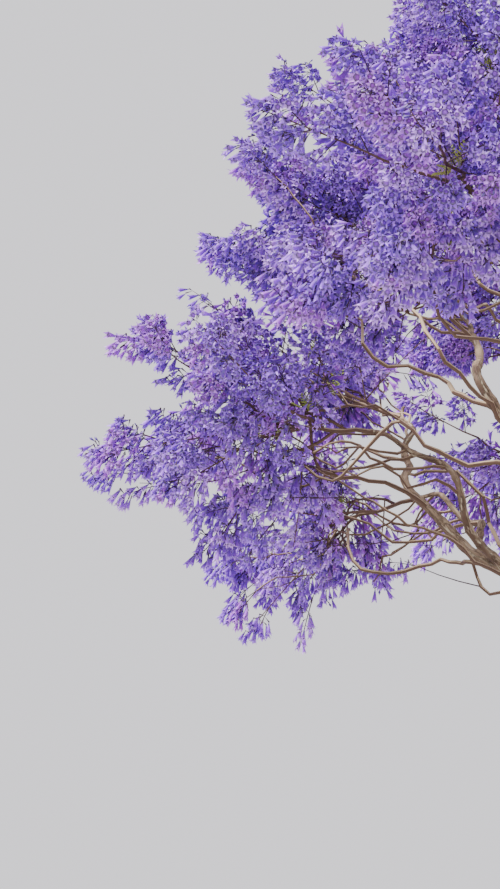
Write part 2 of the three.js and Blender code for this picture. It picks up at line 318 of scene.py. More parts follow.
class CrookedLine:
    """A crooked limb's centre line: one smooth curve with two waves across it."""

    def __init__(
        self,
        start: Array,
        start_along: Array,
        end: Array,
        end_along: Array,
        wander: float,
        random: Stream,
    ) -> None:
        """Lays the line.

        Args:
            start: Where it starts, in millimetres.
            start_along: The direction in which it leaves.
            end: Where it ends.
            end_along: The direction in which it arrives.
            wander: The waves' swing as a share of its span.
            random: The stream that its waves are drawn from.
        """
        chord = end - start
        self.span = float(np.linalg.norm(chord))
        handle = CROOK.handle * self.span
        self.points = (start, start + start_along * handle, end - end_along * handle, end)
        self.ends = (start_along, end_along)
        self.side, self.over = square_to(chord / self.span)
        self.swing = wander * self.span
        self.crooks = mix(*CROOK.waves, random())
        self.phases = (random() * ROUND, random() * ROUND)

    def point(self, t: float | Array) -> Array:
        """The point, or points, at a share of the way along.

        Args:
            t: The share, or several.

        Returns:
            The point, or one to a row.
        """
        t = np.asarray(t, float)[..., None]
        a, b, c, d = self.points
        rest = 1 - t
        base = rest**3 * a + 3 * rest**2 * t * b + 3 * rest * t**2 * c + t**3 * d
        fade = self.swing * np.sin(np.pi * t) ** 2
        turn = 2 * np.pi * self.crooks * t
        first = fade * np.sin(turn + self.phases[0]) * self.side
        pitch = CROOK.second_pitch * turn + self.phases[1]
        return base + first + CROOK.second_swing * fade * np.sin(pitch) * self.over

    def tangent(self, t: float | Array) -> Array:
        """The direction, or directions, of the line at a share of the way along."""
        t = np.asarray(t, float)
        inner = unit(self.point(t + CROOK.step) - self.point(t - CROOK.step))
        inner = np.where((t <= 0)[..., None], self.ends[0], inner)
        return np.where((t >= 1)[..., None], self.ends[1], inner)


Radius = Callable[[Array, Array], Array]


@dataclass
class Limb:
    """One woody piece of the solids: its node, kind, line and radius."""

    name: str
    kind: TrunkKind | LimbKind
    line: CrookedLine
    radius_at: Radius
    heading: float = 0.0
    children: int = 0
    from_tip: bool = False
    parent: "Limb | None" = None

    def thickness(self, at: float) -> float:
        """Its radius at one share of the way along, in millimetres."""
        return float(self.radius_at(np.array(at), np.array(0.0)))


def taper(kind: LimbKind, span: float, start: Start) -> Radius:
    """A limb's radius along its line, with a collar where it springs from its parent.

    Args:
        kind: Its kind, for the radii at its ends.
        span: Its length, in millimetres.
        start: How it starts.

    Returns:
        A function of the share of the way along and the angle round.
    """

    def radius_at(t: Array, turn: Array) -> Array:
        """The radius with its collar, and slimmer inside the parent."""
        run = (t * span) / kind.root_radius
        swelling = start.collar * kind.root_radius * np.exp(-run / COLLAR_RUN)
        inside = 1 - start.slimmer * np.exp(-((run / INSIDE_RUN) ** 2))
        plain = mix(kind.tip_radius, kind.root_radius, (1 - t) ** TAPER_BEND)
        return (plain + swelling) * inside + 0 * turn

    return radius_at


def nearest(limbs: Sequence[Limb], heading: float) -> Limb:
    """The limb whose heading is the nearest to the one given, in degrees."""
    return min(limbs, key=lambda each: abs(((each.heading - heading + 540) % 360) - 180))


@dataclass
class Mass:
    """One blossom mass and the space that it keeps to, in millimetres."""

    name: str
    tier: Tier
    heading: float
    along: Array
    size: Array
    centre: Array
    entry: Array
    serial: int


@dataclass
class Spray:
    """One spray's place: where it is rooted, its middle, its axes and its half sizes."""

    root: Array
    centre: Array
    axes: Array
    half: Array

    @property
    def corners(self) -> Array:
        """The six points that a spray reaches to."""
        arms = self.axes * self.half[:, None]
        return np.concatenate([self.centre + arms, self.centre - arms])

    def clears(self, points: Array, radii: Array) -> bool:
        """True if the spray keeps a clear distance to all of these balls."""
        inside = (np.abs((points - self.centre) @ self.axes.T) / self.half).sum(axis=1)
        slope = math.sqrt(float((1 / self.half**2).sum()))
        return bool((inside > 1 + (radii + MASS.clearance) * slope).all())


@dataclass
class Twig:
    """One twig of a mass, with the sprays that it bears."""

    line: CrookedLine
    sprays: list[Spray]


@dataclass
class Growth:
    """What grows in one mass: its stem, its twigs, and the balls of wood near it."""

    mass: Mass
    stem: CrookedLine
    twigs: list[Twig]
    near: Pair


def clear_of(points: Array, balls: Pair, slack: float = 0) -> Array:
    """Whether points keep this much clear of all the balls, given by middles and radii."""
    apart = np.linalg.norm(points[:, None] - balls[0][None], axis=2)
    return (apart > balls[1] + slack).all(axis=1)


def reach_of(size: Array, along: Array) -> Array:
    """How far a mass reaches from its centre in a direction, or in several."""
    return 1 / np.linalg.norm(along / size, axis=-1)


class Skeleton:
    """The tree as the solids have it: limbs, masses, twigs and the places of the sprays."""

    def __init__(self) -> None:
        """Grows the limbs, places the masses and grows what is in them."""
        self.trunk = self.grow_trunk()
        self.leaders = self.grow_leaders()
        self.rising_boughs = self.grow_rising_boughs()
        self.wide_boughs = self.grow_wide_boughs()
        self.masses = self.place_masses()
        self.limbs = self.grow_limbs()
        self.centres = np.array([mass.centre for mass in self.masses])
        self.balls = self.balls_along(self.wood)
        self.growths = [self.grow_mass(mass) for mass in self.masses]

    @property
    def wood(self) -> list[Limb]:
        """Every woody piece, in the order in which the solids are cut."""
        boughs = [*self.leaders, *self.rising_boughs, *self.wide_boughs]
        return [self.trunk, *boughs, *self.limbs]

    def grow_trunk(self) -> Limb:
        """The trunk: a leaning taper with a buttressed flare at its foot.

        Returns:
            The trunk.
        """
        top = np.array([*TRUNK.lean, TRUNK.height])
        top_along = unit(np.array([*TRUNK.lean, TRUNK.height * TRUNK.steepness]))
        line = CrookedLine(np.zeros(3), UP, top, top_along, TRUNK.wander, stream(Draw.TRUNK))

        def radius_at(t: Array, turn: Array) -> Array:
            """The radius with the flare and its buttresses at the foot."""
            flare = np.exp((-t * TRUNK.height) / TRUNK.flare_height)
            body = mix(TRUNK.waist_radius, TRUNK.fork_radius, t)
            ridge = 1 + TRUNK.buttress_depth * flare * np.cos(TRUNK.buttresses * turn)
            return (body + (TRUNK.foot_radius - TRUNK.waist_radius) * flare) * ridge

        return Limb("trunk", TRUNK, line, radius_at)

    def branch(
        self,
        name: str,
        kind: LimbKind,
        parent: Limb,
        at: float,
        end: Array,
        end_along: Array,
        random: Stream,
    ) -> Limb:
        """A limb that springs from its parent's tip or side.

        Args:
            name: The node's name.
            kind: Its kind.
            parent: The limb that carries it.
            at: Where on the parent it starts, as a share. 1 is the tip.
            end: Where it ends, in millimetres.
            end_along: The direction in which it ends.
            random: The stream for its crooks.

        Returns:
            The limb.
        """
        from_tip = at >= 1
        root = parent.line.point(min(at, 1))
        parent_along = parent.line.tangent(min(at, 1))
        along = parent_along
        if from_tip:
            root = root + parent_along * GAP
        else:
            along = unit(mix(parent_along, unit(end - root), SIDE_TURN))
        line = CrookedLine(root, along, end, end_along, kind.wander, random)
        radius_at = taper(kind, line.span, ON_TIP if from_tip else ON_SIDE)
        return Limb(name, kind, line, radius_at, from_tip=from_tip, parent=parent)

    def spring(
        self,
        kind: LimbKind,
        i: int,
        parent: Limb,
        at: float,
        heading: float,
        shift: Sequence[float] = (0, 0),
    ) -> Limb:
        """A leader or a bough, which ends at its kind's reach, height and lift.

        Args:
            kind: Its kind.
            i: Its number among its kind, from 0.
            parent: The limb that carries it.
            at: Where on the parent it starts, as a share. 1 is the tip.
            heading: The heading that it runs to.
            shift: How far its end is shifted sideways, in millimetres.

        Returns:
            The limb.
        """
        end = polar(heading, kind.reach, kind.height) + np.array([*shift, 0])
        along = direction(heading, kind.end_lift)
        random = stream(kind.draw, i)
        limb = self.branch(f"{kind.name}_{i + 1}", kind, parent, at, end, along, random)
        limb.heading = heading
        return limb

    def grow_leaders(self) -> list[Limb]:
        """The three leaders into which the trunk forks."""
        turn = 360 / len(LEADER_ROOTS)
        return [
            self.spring(LEADER, i, self.trunk, at, LEADER_HEADING + turn * i, TRUNK.lean)
            for i, at in enumerate(LEADER_ROOTS)
        ]

    def grow_rising_boughs(self) -> list[Limb]:
        """One ascending bough on each leader's tip."""
        return [
            self.spring(RISING_BOUGH, i, leader, 1, leader.heading)
            for i, leader in enumerate(self.leaders)
        ]

    def grow_wide_boughs(self) -> list[Limb]:
        """The wide boughs, each on the side of the leader that heads its way.

        Returns:
            The boughs, in the order of their headings.
        """
        boughs = []
        highest, step = WIDE_BOUGH_ROOTS
        for i in range(WIDE_BOUGHS):
            heading = WIDE_BOUGH_HEADING + (360 / WIDE_BOUGHS) * i
            leader = nearest(self.leaders, heading)
            at = highest - step * leader.children
            leader.children += 1
            boughs.append(self.spring(WIDE_BOUGH, i, leader, at, heading))
        return boughs

    def place_masses(self) -> list[Mass]:
        """Each mass: its centre, its half sizes and where its stem enters.

        Returns:
            The masses, tier by tier from below.
        """
        masses = []
        for rank, tier in enumerate(TIERS):
            random = stream(Draw.PLACES, tier.draw)
            for i in range(tier.count):
                stray = {key: most * (2 * random() - 1) for key, most in UNEVEN.items()}
                heading = tier.first_heading + (360 / tier.count) * i + stray["heading"]
                along = direction(heading, tier.end_lift)
                size = np.array([tier.spread, tier.spread, tier.depth]) * (1 + stray["size"])
                centre = polar(heading, tier.reach + stray["reach"], tier.height + stray["height"])
                entry = centre - along * MASS.entry * reach_of(size, along)
                name = f"{tier.name}_{i + 1}"
                serial = 10 * rank + i
                masses.append(Mass(name, tier, heading, along, size, centre, entry, serial))
        return masses

    def grow_limbs(self) -> list[Limb]:
        """One limb to each mass, from the bough that heads its way.

        Returns:
            The limbs, in the masses' order.
        """
        limbs = []
        for mass in self.masses:
            boughs = self.wide_boughs if mass.tier.on_wide_bough else self.rising_boughs
            bough = nearest(boughs, mass.heading)
            at = mass.tier.at + mass.tier.at_step * bough.children
            if mass.tier.at_step > 0:
                bough.children += 1
            name = f"{LIMB.name}_{mass.name}"
            random = stream(LIMB.draw, mass.serial)
            limbs.append(self.branch(name, LIMB, bough, at, mass.entry, mass.along, random))
        return limbs

    def balls_along(self, limbs: Sequence[Limb]) -> Pair:
        """Balls strung along every woody piece: their middles and radii."""
        points, radii = [], []
        for each in limbs:
            count = math.ceil(each.line.span / BALL_SPACING)
            t = np.arange(count + 1) / count
            points.append(each.line.point(t))
            radii.append(each.radius_at(t, np.zeros_like(t)))
        return np.concatenate(points), np.concatenate(radii)

    def space_reach(self, mass: Mass, out: Array) -> Array:
        """How far a mass's own space runs from its centre.

        Args:
            mass: The mass.
            out: Unit directions, one to a row.

        Returns:
            The distance in each direction, in millimetres.
        """
        apart = self.centres[[other is not mass for other in self.masses]] - mass.centre
        gaps = np.linalg.norm(apart, axis=1)
        facing = out @ (apart / gaps[:, None]).T
        borders = np.where(facing > 0, gaps / 2 - MASS.margin, np.inf)
        borders = borders / np.where(facing > 0, facing, 1)
        return np.minimum(reach_of(mass.size, out), borders.min(axis=-1))

    def in_space(self, mass: Mass, points: Array, slack: float = 1) -> Array:
        """Whether points lie in the mass's own space, with this much slack."""
        offset = points - mass.centre
        length = np.linalg.norm(offset, axis=-1)
        out = offset / np.maximum(length, 1e-9)[..., None]
        return length <= self.space_reach(mass, out) + slack

    def heart_depth(self, points: Array) -> Array:
        """Where points lie from the crown's bare heart round its axis: below 1 is inside it."""
        size = np.array([HEART["reach"], HEART["reach"], HEART["rise"]])
        return np.linalg.norm((points - UP * HEART["height"]) / size, axis=-1)

    def grow_mass(self, mass: Mass) -> Growth:
        """The twigs of a mass, fanned round its stem by the golden angle, and their sprays.

        Args:
            mass: The mass.

        Returns:
            Its stem and the twigs that bear a spray.
        """
        random = stream(Draw.TWIGS, mass.serial)
        run = MASS.stem_run * float(reach_of(mass.size, mass.along))
        start = mass.entry + mass.along * GAP
        end = mass.entry + mass.along * run
        stem = CrookedLine(start, mass.along, end, mass.along, MASS.stem_wander, random)
        first_turn = random() * 360
        points, radii = self.balls
        apart = np.linalg.norm(points - mass.centre, axis=1)
        close = apart < mass.size[0] + MASS.nearby
        growth = Growth(mass, stem, [], (points[close], radii[close]))
        borne: list[Spray] = []
        for i in range(MASS.twigs):
            share = i / (MASS.twigs - 1)
            line = self.twig_line(growth, share, first_turn + GOLDEN_ANGLE * i, random)
            sprays = [
                spray
                for spray in self.twig_sprays(growth, line, random)
                if all(
                    np.linalg.norm(other.centre - spray.centre) > MASS.crowding
                    for other in borne
                )
            ]
            if self.twig_clears(line, growth.near) and sprays:
                growth.twigs.append(Twig(line, sprays))
                borne.extend(sprays)
        return growth

    def twig_line(self, growth: Growth, share: float, turned: float, random: Stream) -> CrookedLine:
        """The line of one twig, from the stem to near the skin of the mass's space.

        Args:
            growth: The mass, with its stem.
            share: The twig's rank, from 0 for the lowest and widest to 1 for the topmost.
            turned: How far it is turned round the stem, in degrees.
            random: The mass's stream.

        Returns:
            The line.
        """
        mass = growth.mass
        side, over = square_to(mass.along)
        turn = math.radians(turned)
        widest = math.cos(math.radians(MASS.widest))
        spin = mix(widest, math.cos(math.radians(MASS.narrowest)), share)
        wide = math.acos(spin) + math.radians(MASS.wobble * (2 * random() - 1))
        out = mass.along * math.cos(wide)
        out = out + side * math.sin(wide) * math.cos(turn)
        out = out + over * math.sin(wide) * math.sin(turn)
        reach = float(self.space_reach(mass, out[None])[0])
        tip_at = max(MASS.shortest_twig * reach, reach - MASS.twig_tip * MASS.spray_length)
        end = mass.centre + out * tip_at
        start = growth.stem.point(mix(*MASS.twig_roots, share))
        start_along = unit(mix(mass.along, out, MASS.leaves_outward))
        end_along = unit(mix(unit(end - start), out, MASS.ends_outward))
        return CrookedLine(start, start_along, end, end_along, MASS.twig_wander, random)

    def twig_clears(self, line: CrookedLine, near: Pair) -> bool:
        """True if a twig keeps clear of all the wood near it."""
        return bool(clear_of(line.point(np.array(MASS.probes)), near, 2 * MASS.clearance).all())

    def twig_sprays(self, growth: Growth, line: CrookedLine, random: Stream) -> list[Spray]:
        """The sprays on a twig: one on its tip and the others out of its sides by turns.

        Args:
            growth: The mass whose space they keep to.
            line: The twig's line.
            random: The mass's stream.

        Returns:
            The sprays that fit, made smaller where they need to be.
        """
        first_turn = random() * 360
        found = []
        for i in range(MASS.sprays_on_twig):
            t = 1 - MASS.spray_spacing * i
            along = line.tangent(t)
            turn = math.radians(first_turn + 180 * i)
            fan = 0.0 if i == 0 else MASS.spray_fan * mix(*MASS.fan_range, random())
            out = fan_out((*square_to(along), along), turn, math.radians(fan))
            full_size = mix(*MASS.size_range, random())
            for share in MASS.spray_scales:
                spray = self.spray(line.point(t), out, share * full_size)
                inside = self.in_space(growth.mass, spray.corners).all()
                if inside and spray.clears(*growth.near):
                    if self.heart_depth(spray.centre) >= 1:
                        found.append(spray)
                    break
        return found

    def spray(self, root: Array, along: Array, scale: float) -> Spray:
        """A spray that is rooted at a point and runs out along a direction."""
        half = np.array([MASS.spray_width, MASS.spray_width, MASS.spray_length]) * scale / 2
        centre = root + along * half[2] * (1 - 2 * MASS.sunk)
        return Spray(root, centre, np.array([*square_to(along), along]), half)


# Small helpers for materials and node trees.


def linear(colour: str) -> tuple[float, float, float, float]:
    """An sRGB hex colour as linear red, green, blue and alpha."""
    parts = [int(colour[i : i + 2], 16) / 255 for i in (1, 3, 5)]
    bent = [p / 12.92 if p <= 0.04045 else ((p + 0.055) / 1.055) ** 2.4 for p in parts]
    return (*bent, 1.0)


def add_node(
    tree: Tree, kind: str, inputs: dict[str | int, object] | None = None, **settings: object
) -> bpy.types.Node:
    """Adds a node to a tree, sets it and links it.

    Args:
        tree: The node tree.
        kind: The node's type name.
        inputs: Its inputs, by name or number: a socket is linked, and a value is set.
        settings: Its own properties, by name.

    Returns:
        The new node.
    """
    node = tree.nodes.new(kind)
    for name, value in settings.items():
        setattr(node, name, value)
    for key, value in (inputs or {}).items():
        socket = node.inputs[key]
        if isinstance(value, Socket):
            tree.links.new(value, socket)
        else:
            socket.default_value = value
    return node


def result(
    tree: Tree, kind: str, inputs: dict[str | int, object] | None = None, **settings: object
) -> Socket:
    """The first output of a new node, which is made as add_node does."""
    return add_node(tree, kind, inputs, **settings).outputs[0]


def node_of(tree: Tree, kind: str) -> bpy.types.Node:
    """The first node of a type in a tree."""
    return next(node for node in tree.nodes if node.bl_idname == kind)


def calculate(tree: Tree, operation: str, first: object, second: object = None) -> Socket:
    """The result of one operation on numbers or sockets."""
    inputs = {0: first} if second is None else {0: first, 1: second}
    return result(tree, "ShaderNodeMath", inputs, operation=operation)


def stretch(tree: Tree, vector: Socket, share: float) -> Socket:
    """A vector with its third part scaled, which draws a pattern out along the grain."""
    inputs = {0: vector, 1: (1.0, 1.0, share)}
    return result(tree, "ShaderNodeVectorMath", inputs, operation="MULTIPLY")


def speckle(
    tree: Tree,
    vector: Socket,
    scale: object,
    detail: float,
    roughness: float = 0.5,
    seed: Socket | None = None,
) -> Socket:
    """A cloudy pattern from 0 to 1 round one half.

    Args:
        tree: The node tree.
        vector: The place in the pattern.
        scale: How many features there are to the metre.
        detail: How many finer patterns are laid over it.
        roughness: How strong those are.
        seed: What picks another pattern of the same kind.

    Returns:
        The socket of its value.
    """
    inputs = {"Vector": vector, "Scale": scale, "Detail": detail, "Roughness": roughness}
    if seed is None:
        return result(tree, "ShaderNodeTexNoise", inputs)
    return result(tree, "ShaderNodeTexNoise", {**inputs, "W": seed}, noise_dimensions="4D")


def ramp(tree: Tree, value: Socket, low: float, high: float, most: float = 1.0) -> Socket:
    """A value as 0 at low and as most at high, and straight between them."""
    inputs = {"Value": value, "From Min": low, "From Max": high, "To Max": most}
    return result(tree, "ShaderNodeMapRange", inputs)


def blend(tree: Tree, share: Socket, base: object, over: object) -> Socket:
    """A colour that goes from base to over by a share."""
    inputs = {0: share, 6: base, 7: over}
    return add_node(tree, "ShaderNodeMix", inputs, data_type="RGBA").outputs[2]


def cover(tree: Tree, geometry: Socket, material: Socket, only: Socket | None = None) -> Socket:
    """A geometry in a material, or only some of its faces."""
    inputs = {"Geometry": geometry, "Material": material}
    if only is not None:
        inputs["Selection"] = only
    return result(tree, "GeometryNodeSetMaterial", inputs)


def realize(tree: Tree, geometry: Socket, smooth: bool) -> Socket:
    """A geometry with its instances made real, and shaded smooth if asked."""
    if smooth:
        geometry = result(tree, "GeometryNodeSetShadeSmooth", {"Geometry": geometry})
    return result(tree, "GeometryNodeRealizeInstances", {"Geometry": geometry})


def read_attribute(tree: Tree, name: str, kind: str) -> Socket:
    """The socket of a named attribute in a geometry node tree."""
    node = add_node(tree, "GeometryNodeInputNamedAttribute", {"Name": name}, data_type=kind)
    return next(socket for socket in node.outputs if socket.name == "Attribute" and socket.enabled)


def open_tree(name: str, sockets: dict[str, tuple[str, object]]) -> Tree:
    """A new geometry node tree with its inputs.

    Args:
        name: The tree's name.
        sockets: The type and the default of each input after the geometry, by name.

    Returns:
        The tree, with a group input and a group output node.
    """
    tree = bpy.data.node_groups.new(name, "GeometryNodeTree")
    geometry = "NodeSocketGeometry"
    tree.interface.new_socket("Geometry", in_out="OUTPUT", socket_type=geometry)
    tree.interface.new_socket("Geometry", in_out="INPUT", socket_type=geometry)
    for label, (kind, default) in sockets.items():
        socket = tree.interface.new_socket(label, in_out="INPUT", socket_type=f"NodeSocket{kind}")
        if default is not None:
            socket.default_value = default
    tree.nodes.new("NodeGroupInput")
    tree.nodes.new("NodeGroupOutput")
    return tree


def close_tree(tree: Tree, geometry: Socket) -> Tree:
    """The tree, with this geometry as its result."""
    tree.links.new(geometry, node_of(tree, "NodeGroupOutput").inputs[0])
    return tree


def set_inputs(modifier: bpy.types.NodesModifier, values: dict[str, object]) -> None:
    """Sets a modifier's inputs, given by name, through their socket identifiers."""
    for item in modifier.node_group.interface.items_tree:
        if item.item_type == "SOCKET" and item.in_out == "INPUT" and item.name in values:
            modifier[item.identifier] = values[item.name]


def mesh_object(
    name: str,
    points: Array,
    edges: Array | None = None,
    faces: Array | None = None,
    attributes: dict[str, Array] | None = None,
) -> Piece:
    """A linked mesh object at the origin.

    Args:
        name: Its name.
        points: The vertices, in metres.
        edges: Pairs of vertices, for a mesh without faces.
        faces: The faces, all with the same number of corners.
        attributes: Values on the points, by name: numbers or vectors.

    Returns:
        The object.
    """
    mesh = bpy.data.meshes.new(name)
    mesh.vertices.add(len(points))
    mesh.vertices.foreach_set("co", np.ascontiguousarray(points, np.float32).ravel())
    if edges is not None:
        mesh.edges.add(len(edges))
        mesh.edges.foreach_set("vertices", np.ascontiguousarray(edges, np.int32).ravel())
    if faces is not None:
        corners = faces.shape[1]
        mesh.loops.add(faces.size)
        mesh.loops.foreach_set("vertex_index", np.ascontiguousarray(faces, np.int32).ravel())
        mesh.polygons.add(len(faces))
        mesh.polygons.foreach_set("loop_start", np.arange(0, faces.size, corners, dtype=np.int32))
    for label, values in (attributes or {}).items():
        vector = values.ndim == 2
        kind = "FLOAT_VECTOR" if vector else "FLOAT"
        layer = mesh.attributes.new(label, kind, "POINT")
        flat = np.ascontiguousarray(values, np.float32).ravel()
        layer.data.foreach_set("vector" if vector else "value", flat)
    mesh.update(calc_edges=faces is not None)
    made = bpy.data.objects.new(name, mesh)
    bpy.context.scene.collection.objects.link(made)
    return made


def bake_nodes(source: Piece, tree: Tree, values: dict[str, object]) -> Piece:
    """Runs a geometry node tree on an object and keeps the result as its plain mesh.

    Args:
        source: The object that the tree works on.
        tree: The tree.
        values: The tree's inputs, by name.

    Returns:
        The object, with the new mesh and without the modifier.
    """
    modifier = source.modifiers.new(tree.name, "NODES")
    modifier.node_group = tree
    set_inputs(modifier, values)
    graph = bpy.context.evaluated_depsgraph_get()
    done = bpy.data.meshes.new_from_object(source.evaluated_get(graph))
    source.modifiers.remove(modifier)
    old = source.data
    done.name = source.name
    source.data = done
    bpy.data.meshes.remove(old)
    return source


# Finishes, each named for the real material.


@dataclass(frozen=True)
class Bark:
    """Jacaranda bark: thin, matt and grey-brown, finely fissured lengthwise.

    The eye sees pale tan plates between narrow dark fissures, with paler ridges. Thin boughs are
    blotched with brown, and every underside is painted darker as shade.
    """

    name: str = "jacaranda_bark"
    plate: str = "#B6A084"
    shade: str = "#7C6858"
    # Colour of the brown blotches and of the painted shade on undersides.
    stain_and_shade: str = "#4A352E"
    crack: str = "#33261F"
    lichen: str = "#E0D4B8"
    roughness: float = 0.88
    specular: float = 0.3
    stretched: float = 0.22
    crack_mm: float = 14.0
    fissure_mm: float = 28.0
    fissure_width: float = 0.045
    fissure_depth: float = 0.75
    patch_mm: float = 130.0
    blotch_mm: float = 60.0
    blotched_below: float = 0.075
    most_blotched_at: float = 0.03
    relief: float = 0.6
    relief_depth: float = 0.004

    def material(self) -> bpy.types.Material:
        """The bark's material, which follows the limb through its grain attribute.

        Returns:
            The material.
        """
        made = bpy.data.materials.new(self.name)
        made.use_nodes = True
        tree = made.node_tree
        shader = node_of(tree, "ShaderNodeBsdfPrincipled")
        grain = add_node(tree, "ShaderNodeAttribute", attribute_name="grain")
        across = grain.outputs["Vector"]
        lengthwise = stretch(tree, across, self.stretched)
        cracks = speckle(tree, lengthwise, 1 / (self.crack_mm * MM), 3.0, 0.62)
        # The plates darken toward the stain colour in blotches, and as painted shade on undersides.
        blotch_and_shade_share = self.blotches_and_painted_shade(tree, across)
        blotched_and_shaded_plates = blend(tree, blotch_and_shade_share, self.plates(tree, lengthwise), linear(self.stain_and_shade))
        pale = ramp(tree, cracks, 0.54, 0.72, 0.6)
        weathered = blend(tree, pale, blotched_and_shaded_plates, linear(self.lichen))
        dark = self.fissures(tree, lengthwise)
        coloured = blend(tree, dark, weathered, linear(self.crack))
        bump = {"Strength": self.relief, "Distance": self.relief_depth, "Height": cracks}
        tree.links.new(coloured, shader.inputs["Base Color"])
        tree.links.new(result(tree, "ShaderNodeBump", bump), shader.inputs["Normal"])
        shader.inputs["Roughness"].default_value = self.roughness
        shader.inputs["Specular IOR Level"].default_value = self.specular
        return made

    def plates(self, tree: Tree, lengthwise: Socket) -> Socket:
        """The colour of the plates, which shifts from patch to patch."""
        patches = speckle(tree, lengthwise, 1 / (self.patch_mm * MM), 4.0)
        tone = ramp(tree, patches, 0.32, 0.66)
        return blend(tree, tone, linear(self.shade), linear(self.plate))

    def blotches_and_painted_shade(self, tree: Tree, across: Socket) -> Socket:
        """How much the bark is darkened: brown blotches on thin boughs, and painted shade on every
        underside.

        Args:
            tree: The material's tree.
            across: The place in the bark's pattern.

        Returns:
            The darkening, from 0 to 1.
        """
        blotches = speckle(tree, across, 1 / (self.blotch_mm * MM), 3.0)
        blotched = ramp(tree, blotches, 0.42, 0.64)
        girth = add_node(tree, "ShaderNodeAttribute", attribute_name="girth").outputs["Fac"]
        young = ramp(tree, girth, self.blotched_below, self.most_blotched_at, 0.75)
        stained = calculate(tree, "MULTIPLY", blotched, young)
        # Painted shade: faces that point downward are darkened toward the stain colour.
        facing = add_node(tree, "ShaderNodeNewGeometry").outputs["Normal"]
        upward = add_node(tree, "ShaderNodeSeparateXYZ", {0: facing}).outputs["Z"]
        return calculate(tree, "MAXIMUM", stained, ramp(tree, upward, 0.2, -0.7, 0.9))

    def fissures(self, tree: Tree, lengthwise: Socket) -> Socket:
        """How dark the fissures are: narrow lines where a pattern crosses its middle."""
        pattern = speckle(tree, lengthwise, 1 / (self.fissure_mm * MM), 4.0, 0.55)
        distance = calculate(tree, "ABSOLUTE", calculate(tree, "SUBTRACT", pattern, 0.5))
        return ramp(tree, distance, self.fissure_width, 0.0, self.fissure_depth)


@dataclass(frozen=True)
class SoftGrowth:
    """Thin living tissue in one plain colour: petal, calyx, leaf or green twig.

    Petals are velvety and matt, so the eye sees soft light on their edges and no hard gloss.
    """

    name: str
    colour: str
    roughness: float = 0.6
    sheen: float = 0.25
    specular: float = 0.35

    def material(self) -> bpy.types.Material:
        """The tissue's material.

        Returns:
            The material.
        """
        made = bpy.data.materials.new(self.name)
        made.use_nodes = True
        shader = node_of(made.node_tree, "ShaderNodeBsdfPrincipled")
        shader.inputs["Base Color"].default_value = linear(self.colour)
        shader.inputs["Roughness"].default_value = self.roughness
        shader.inputs["Sheen Weight"].default_value = self.sheen
        shader.inputs["Specular IOR Level"].default_value = self.specular
        return made


YOUNG_BRANCH_BARK = SoftGrowth("young_branch_bark", "#B09A7E", 0.8, 0.0, 0.3)
# A darker copy of the side branches' bark, put on their undersides as painted shade.
SHADED_BRANCH_BARK = SoftGrowth("shaded_branch_bark", "#5C473C", 0.85, 0.0, 0.25)
YOUNG_TWIG_BARK = SoftGrowth("young_twig_bark", "#5E483E", 0.8, 0.0, 0.3)
PANICLE_STALK = SoftGrowth("panicle_stalk", "#48343A", 0.7, 0.0, 0.3)
CALYX = SoftGrowth("calyx", "#4E3850", 0.65, 0.1)
BUD_PETAL = SoftGrowth("bud_petal", "#64509C", 0.6, 0.2)
YOUNG_LEAF = SoftGrowth("young_leaf", "#9AA84C", 0.55, 0.1)
PALE_FLOOR = SoftGrowth("pale_floor", "#BEBEBA", 0.85, 0.0, 0.2)


class Tint(Enum):
    """The petal tints that are dealt out by panicle: the tube's colour and the lobes'."""

    DEEP = ("#7C38C2", "#A86CF2")
    VIOLET = ("#8844D4", "#B47CFA")
    LILAC = ("#9A50E2", "#C48EFC")
    MAUVE = ("#A448D6", "#CC84F8")
    PALE = ("#AE64F0", "#D6A6FF")


# How often each tint is dealt, in the same order.
TINT_SHARES = (0.19, 0.21, 0.22, 0.19, 0.19)


# Wood.


@dataclass(frozen=True)
class BarkRelief:
    """The bark's relief as geometry: lengthwise ridges, low lumps and a knotty outline."""

    ridge_mm: float = 34.0
    ridge_depth: float = 0.05
    lump_mm: float = 210.0
    lump_depth: float = 0.07
    stretched: float = 0.2
    seed: float = 4.0

    def tree(self) -> Tree:
        """The node tree that raises the relief along each point's normal.

        Returns:
            The tree.
        """
        tree = open_tree(
            "bark_relief",
            {
                "Ridge Scale": ("Float", 1 / (self.ridge_mm * MM)),
                "Ridge Depth": ("Float", self.ridge_depth),
                "Lump Scale": ("Float", 1 / (self.lump_mm * MM)),
                "Lump Depth": ("Float", self.lump_depth),
                "Seed": ("Float", self.seed),
                "Bark": ("Material", None),
            },
        )
        given = node_of(tree, "NodeGroupInput").outputs
        grain = read_attribute(tree, "grain", "FLOAT_VECTOR")
        girth = read_attribute(tree, "girth", "FLOAT")
        lengthwise = stretch(tree, grain, self.stretched)
        ridges = speckle(tree, lengthwise, given["Ridge Scale"], 2.0, seed=given["Seed"])
        lumps = speckle(tree, grain, given["Lump Scale"], 1.0, seed=given["Seed"])
        raised = [
            calculate(tree, "MULTIPLY", calculate(tree, "SUBTRACT", pattern, 0.5), given[depth])
            for pattern, depth in ((ridges, "Ridge Depth"), (lumps, "Lump Depth"))
        ]
        height = calculate(tree, "MULTIPLY", calculate(tree, "ADD", *raised), girth)
        normal = result(tree, "GeometryNodeInputNormal")
        outward = {0: normal, "Scale": height}
        offset = result(tree, "ShaderNodeVectorMath", outward, operation="SCALE")
        moved = {"Geometry": given["Geometry"], "Offset": offset}
        real = realize(tree, result(tree, "GeometryNodeSetPosition", moved), smooth=True)
        return close_tree(tree, cover(tree, real, given["Bark"]))


@dataclass
class Skin:
    """A limb's skin as rings of points, from the root up, in millimetres."""

    middles: Array
    along: Array
    out: Array
    radii: Array
    travelled: Array
    hidden: int


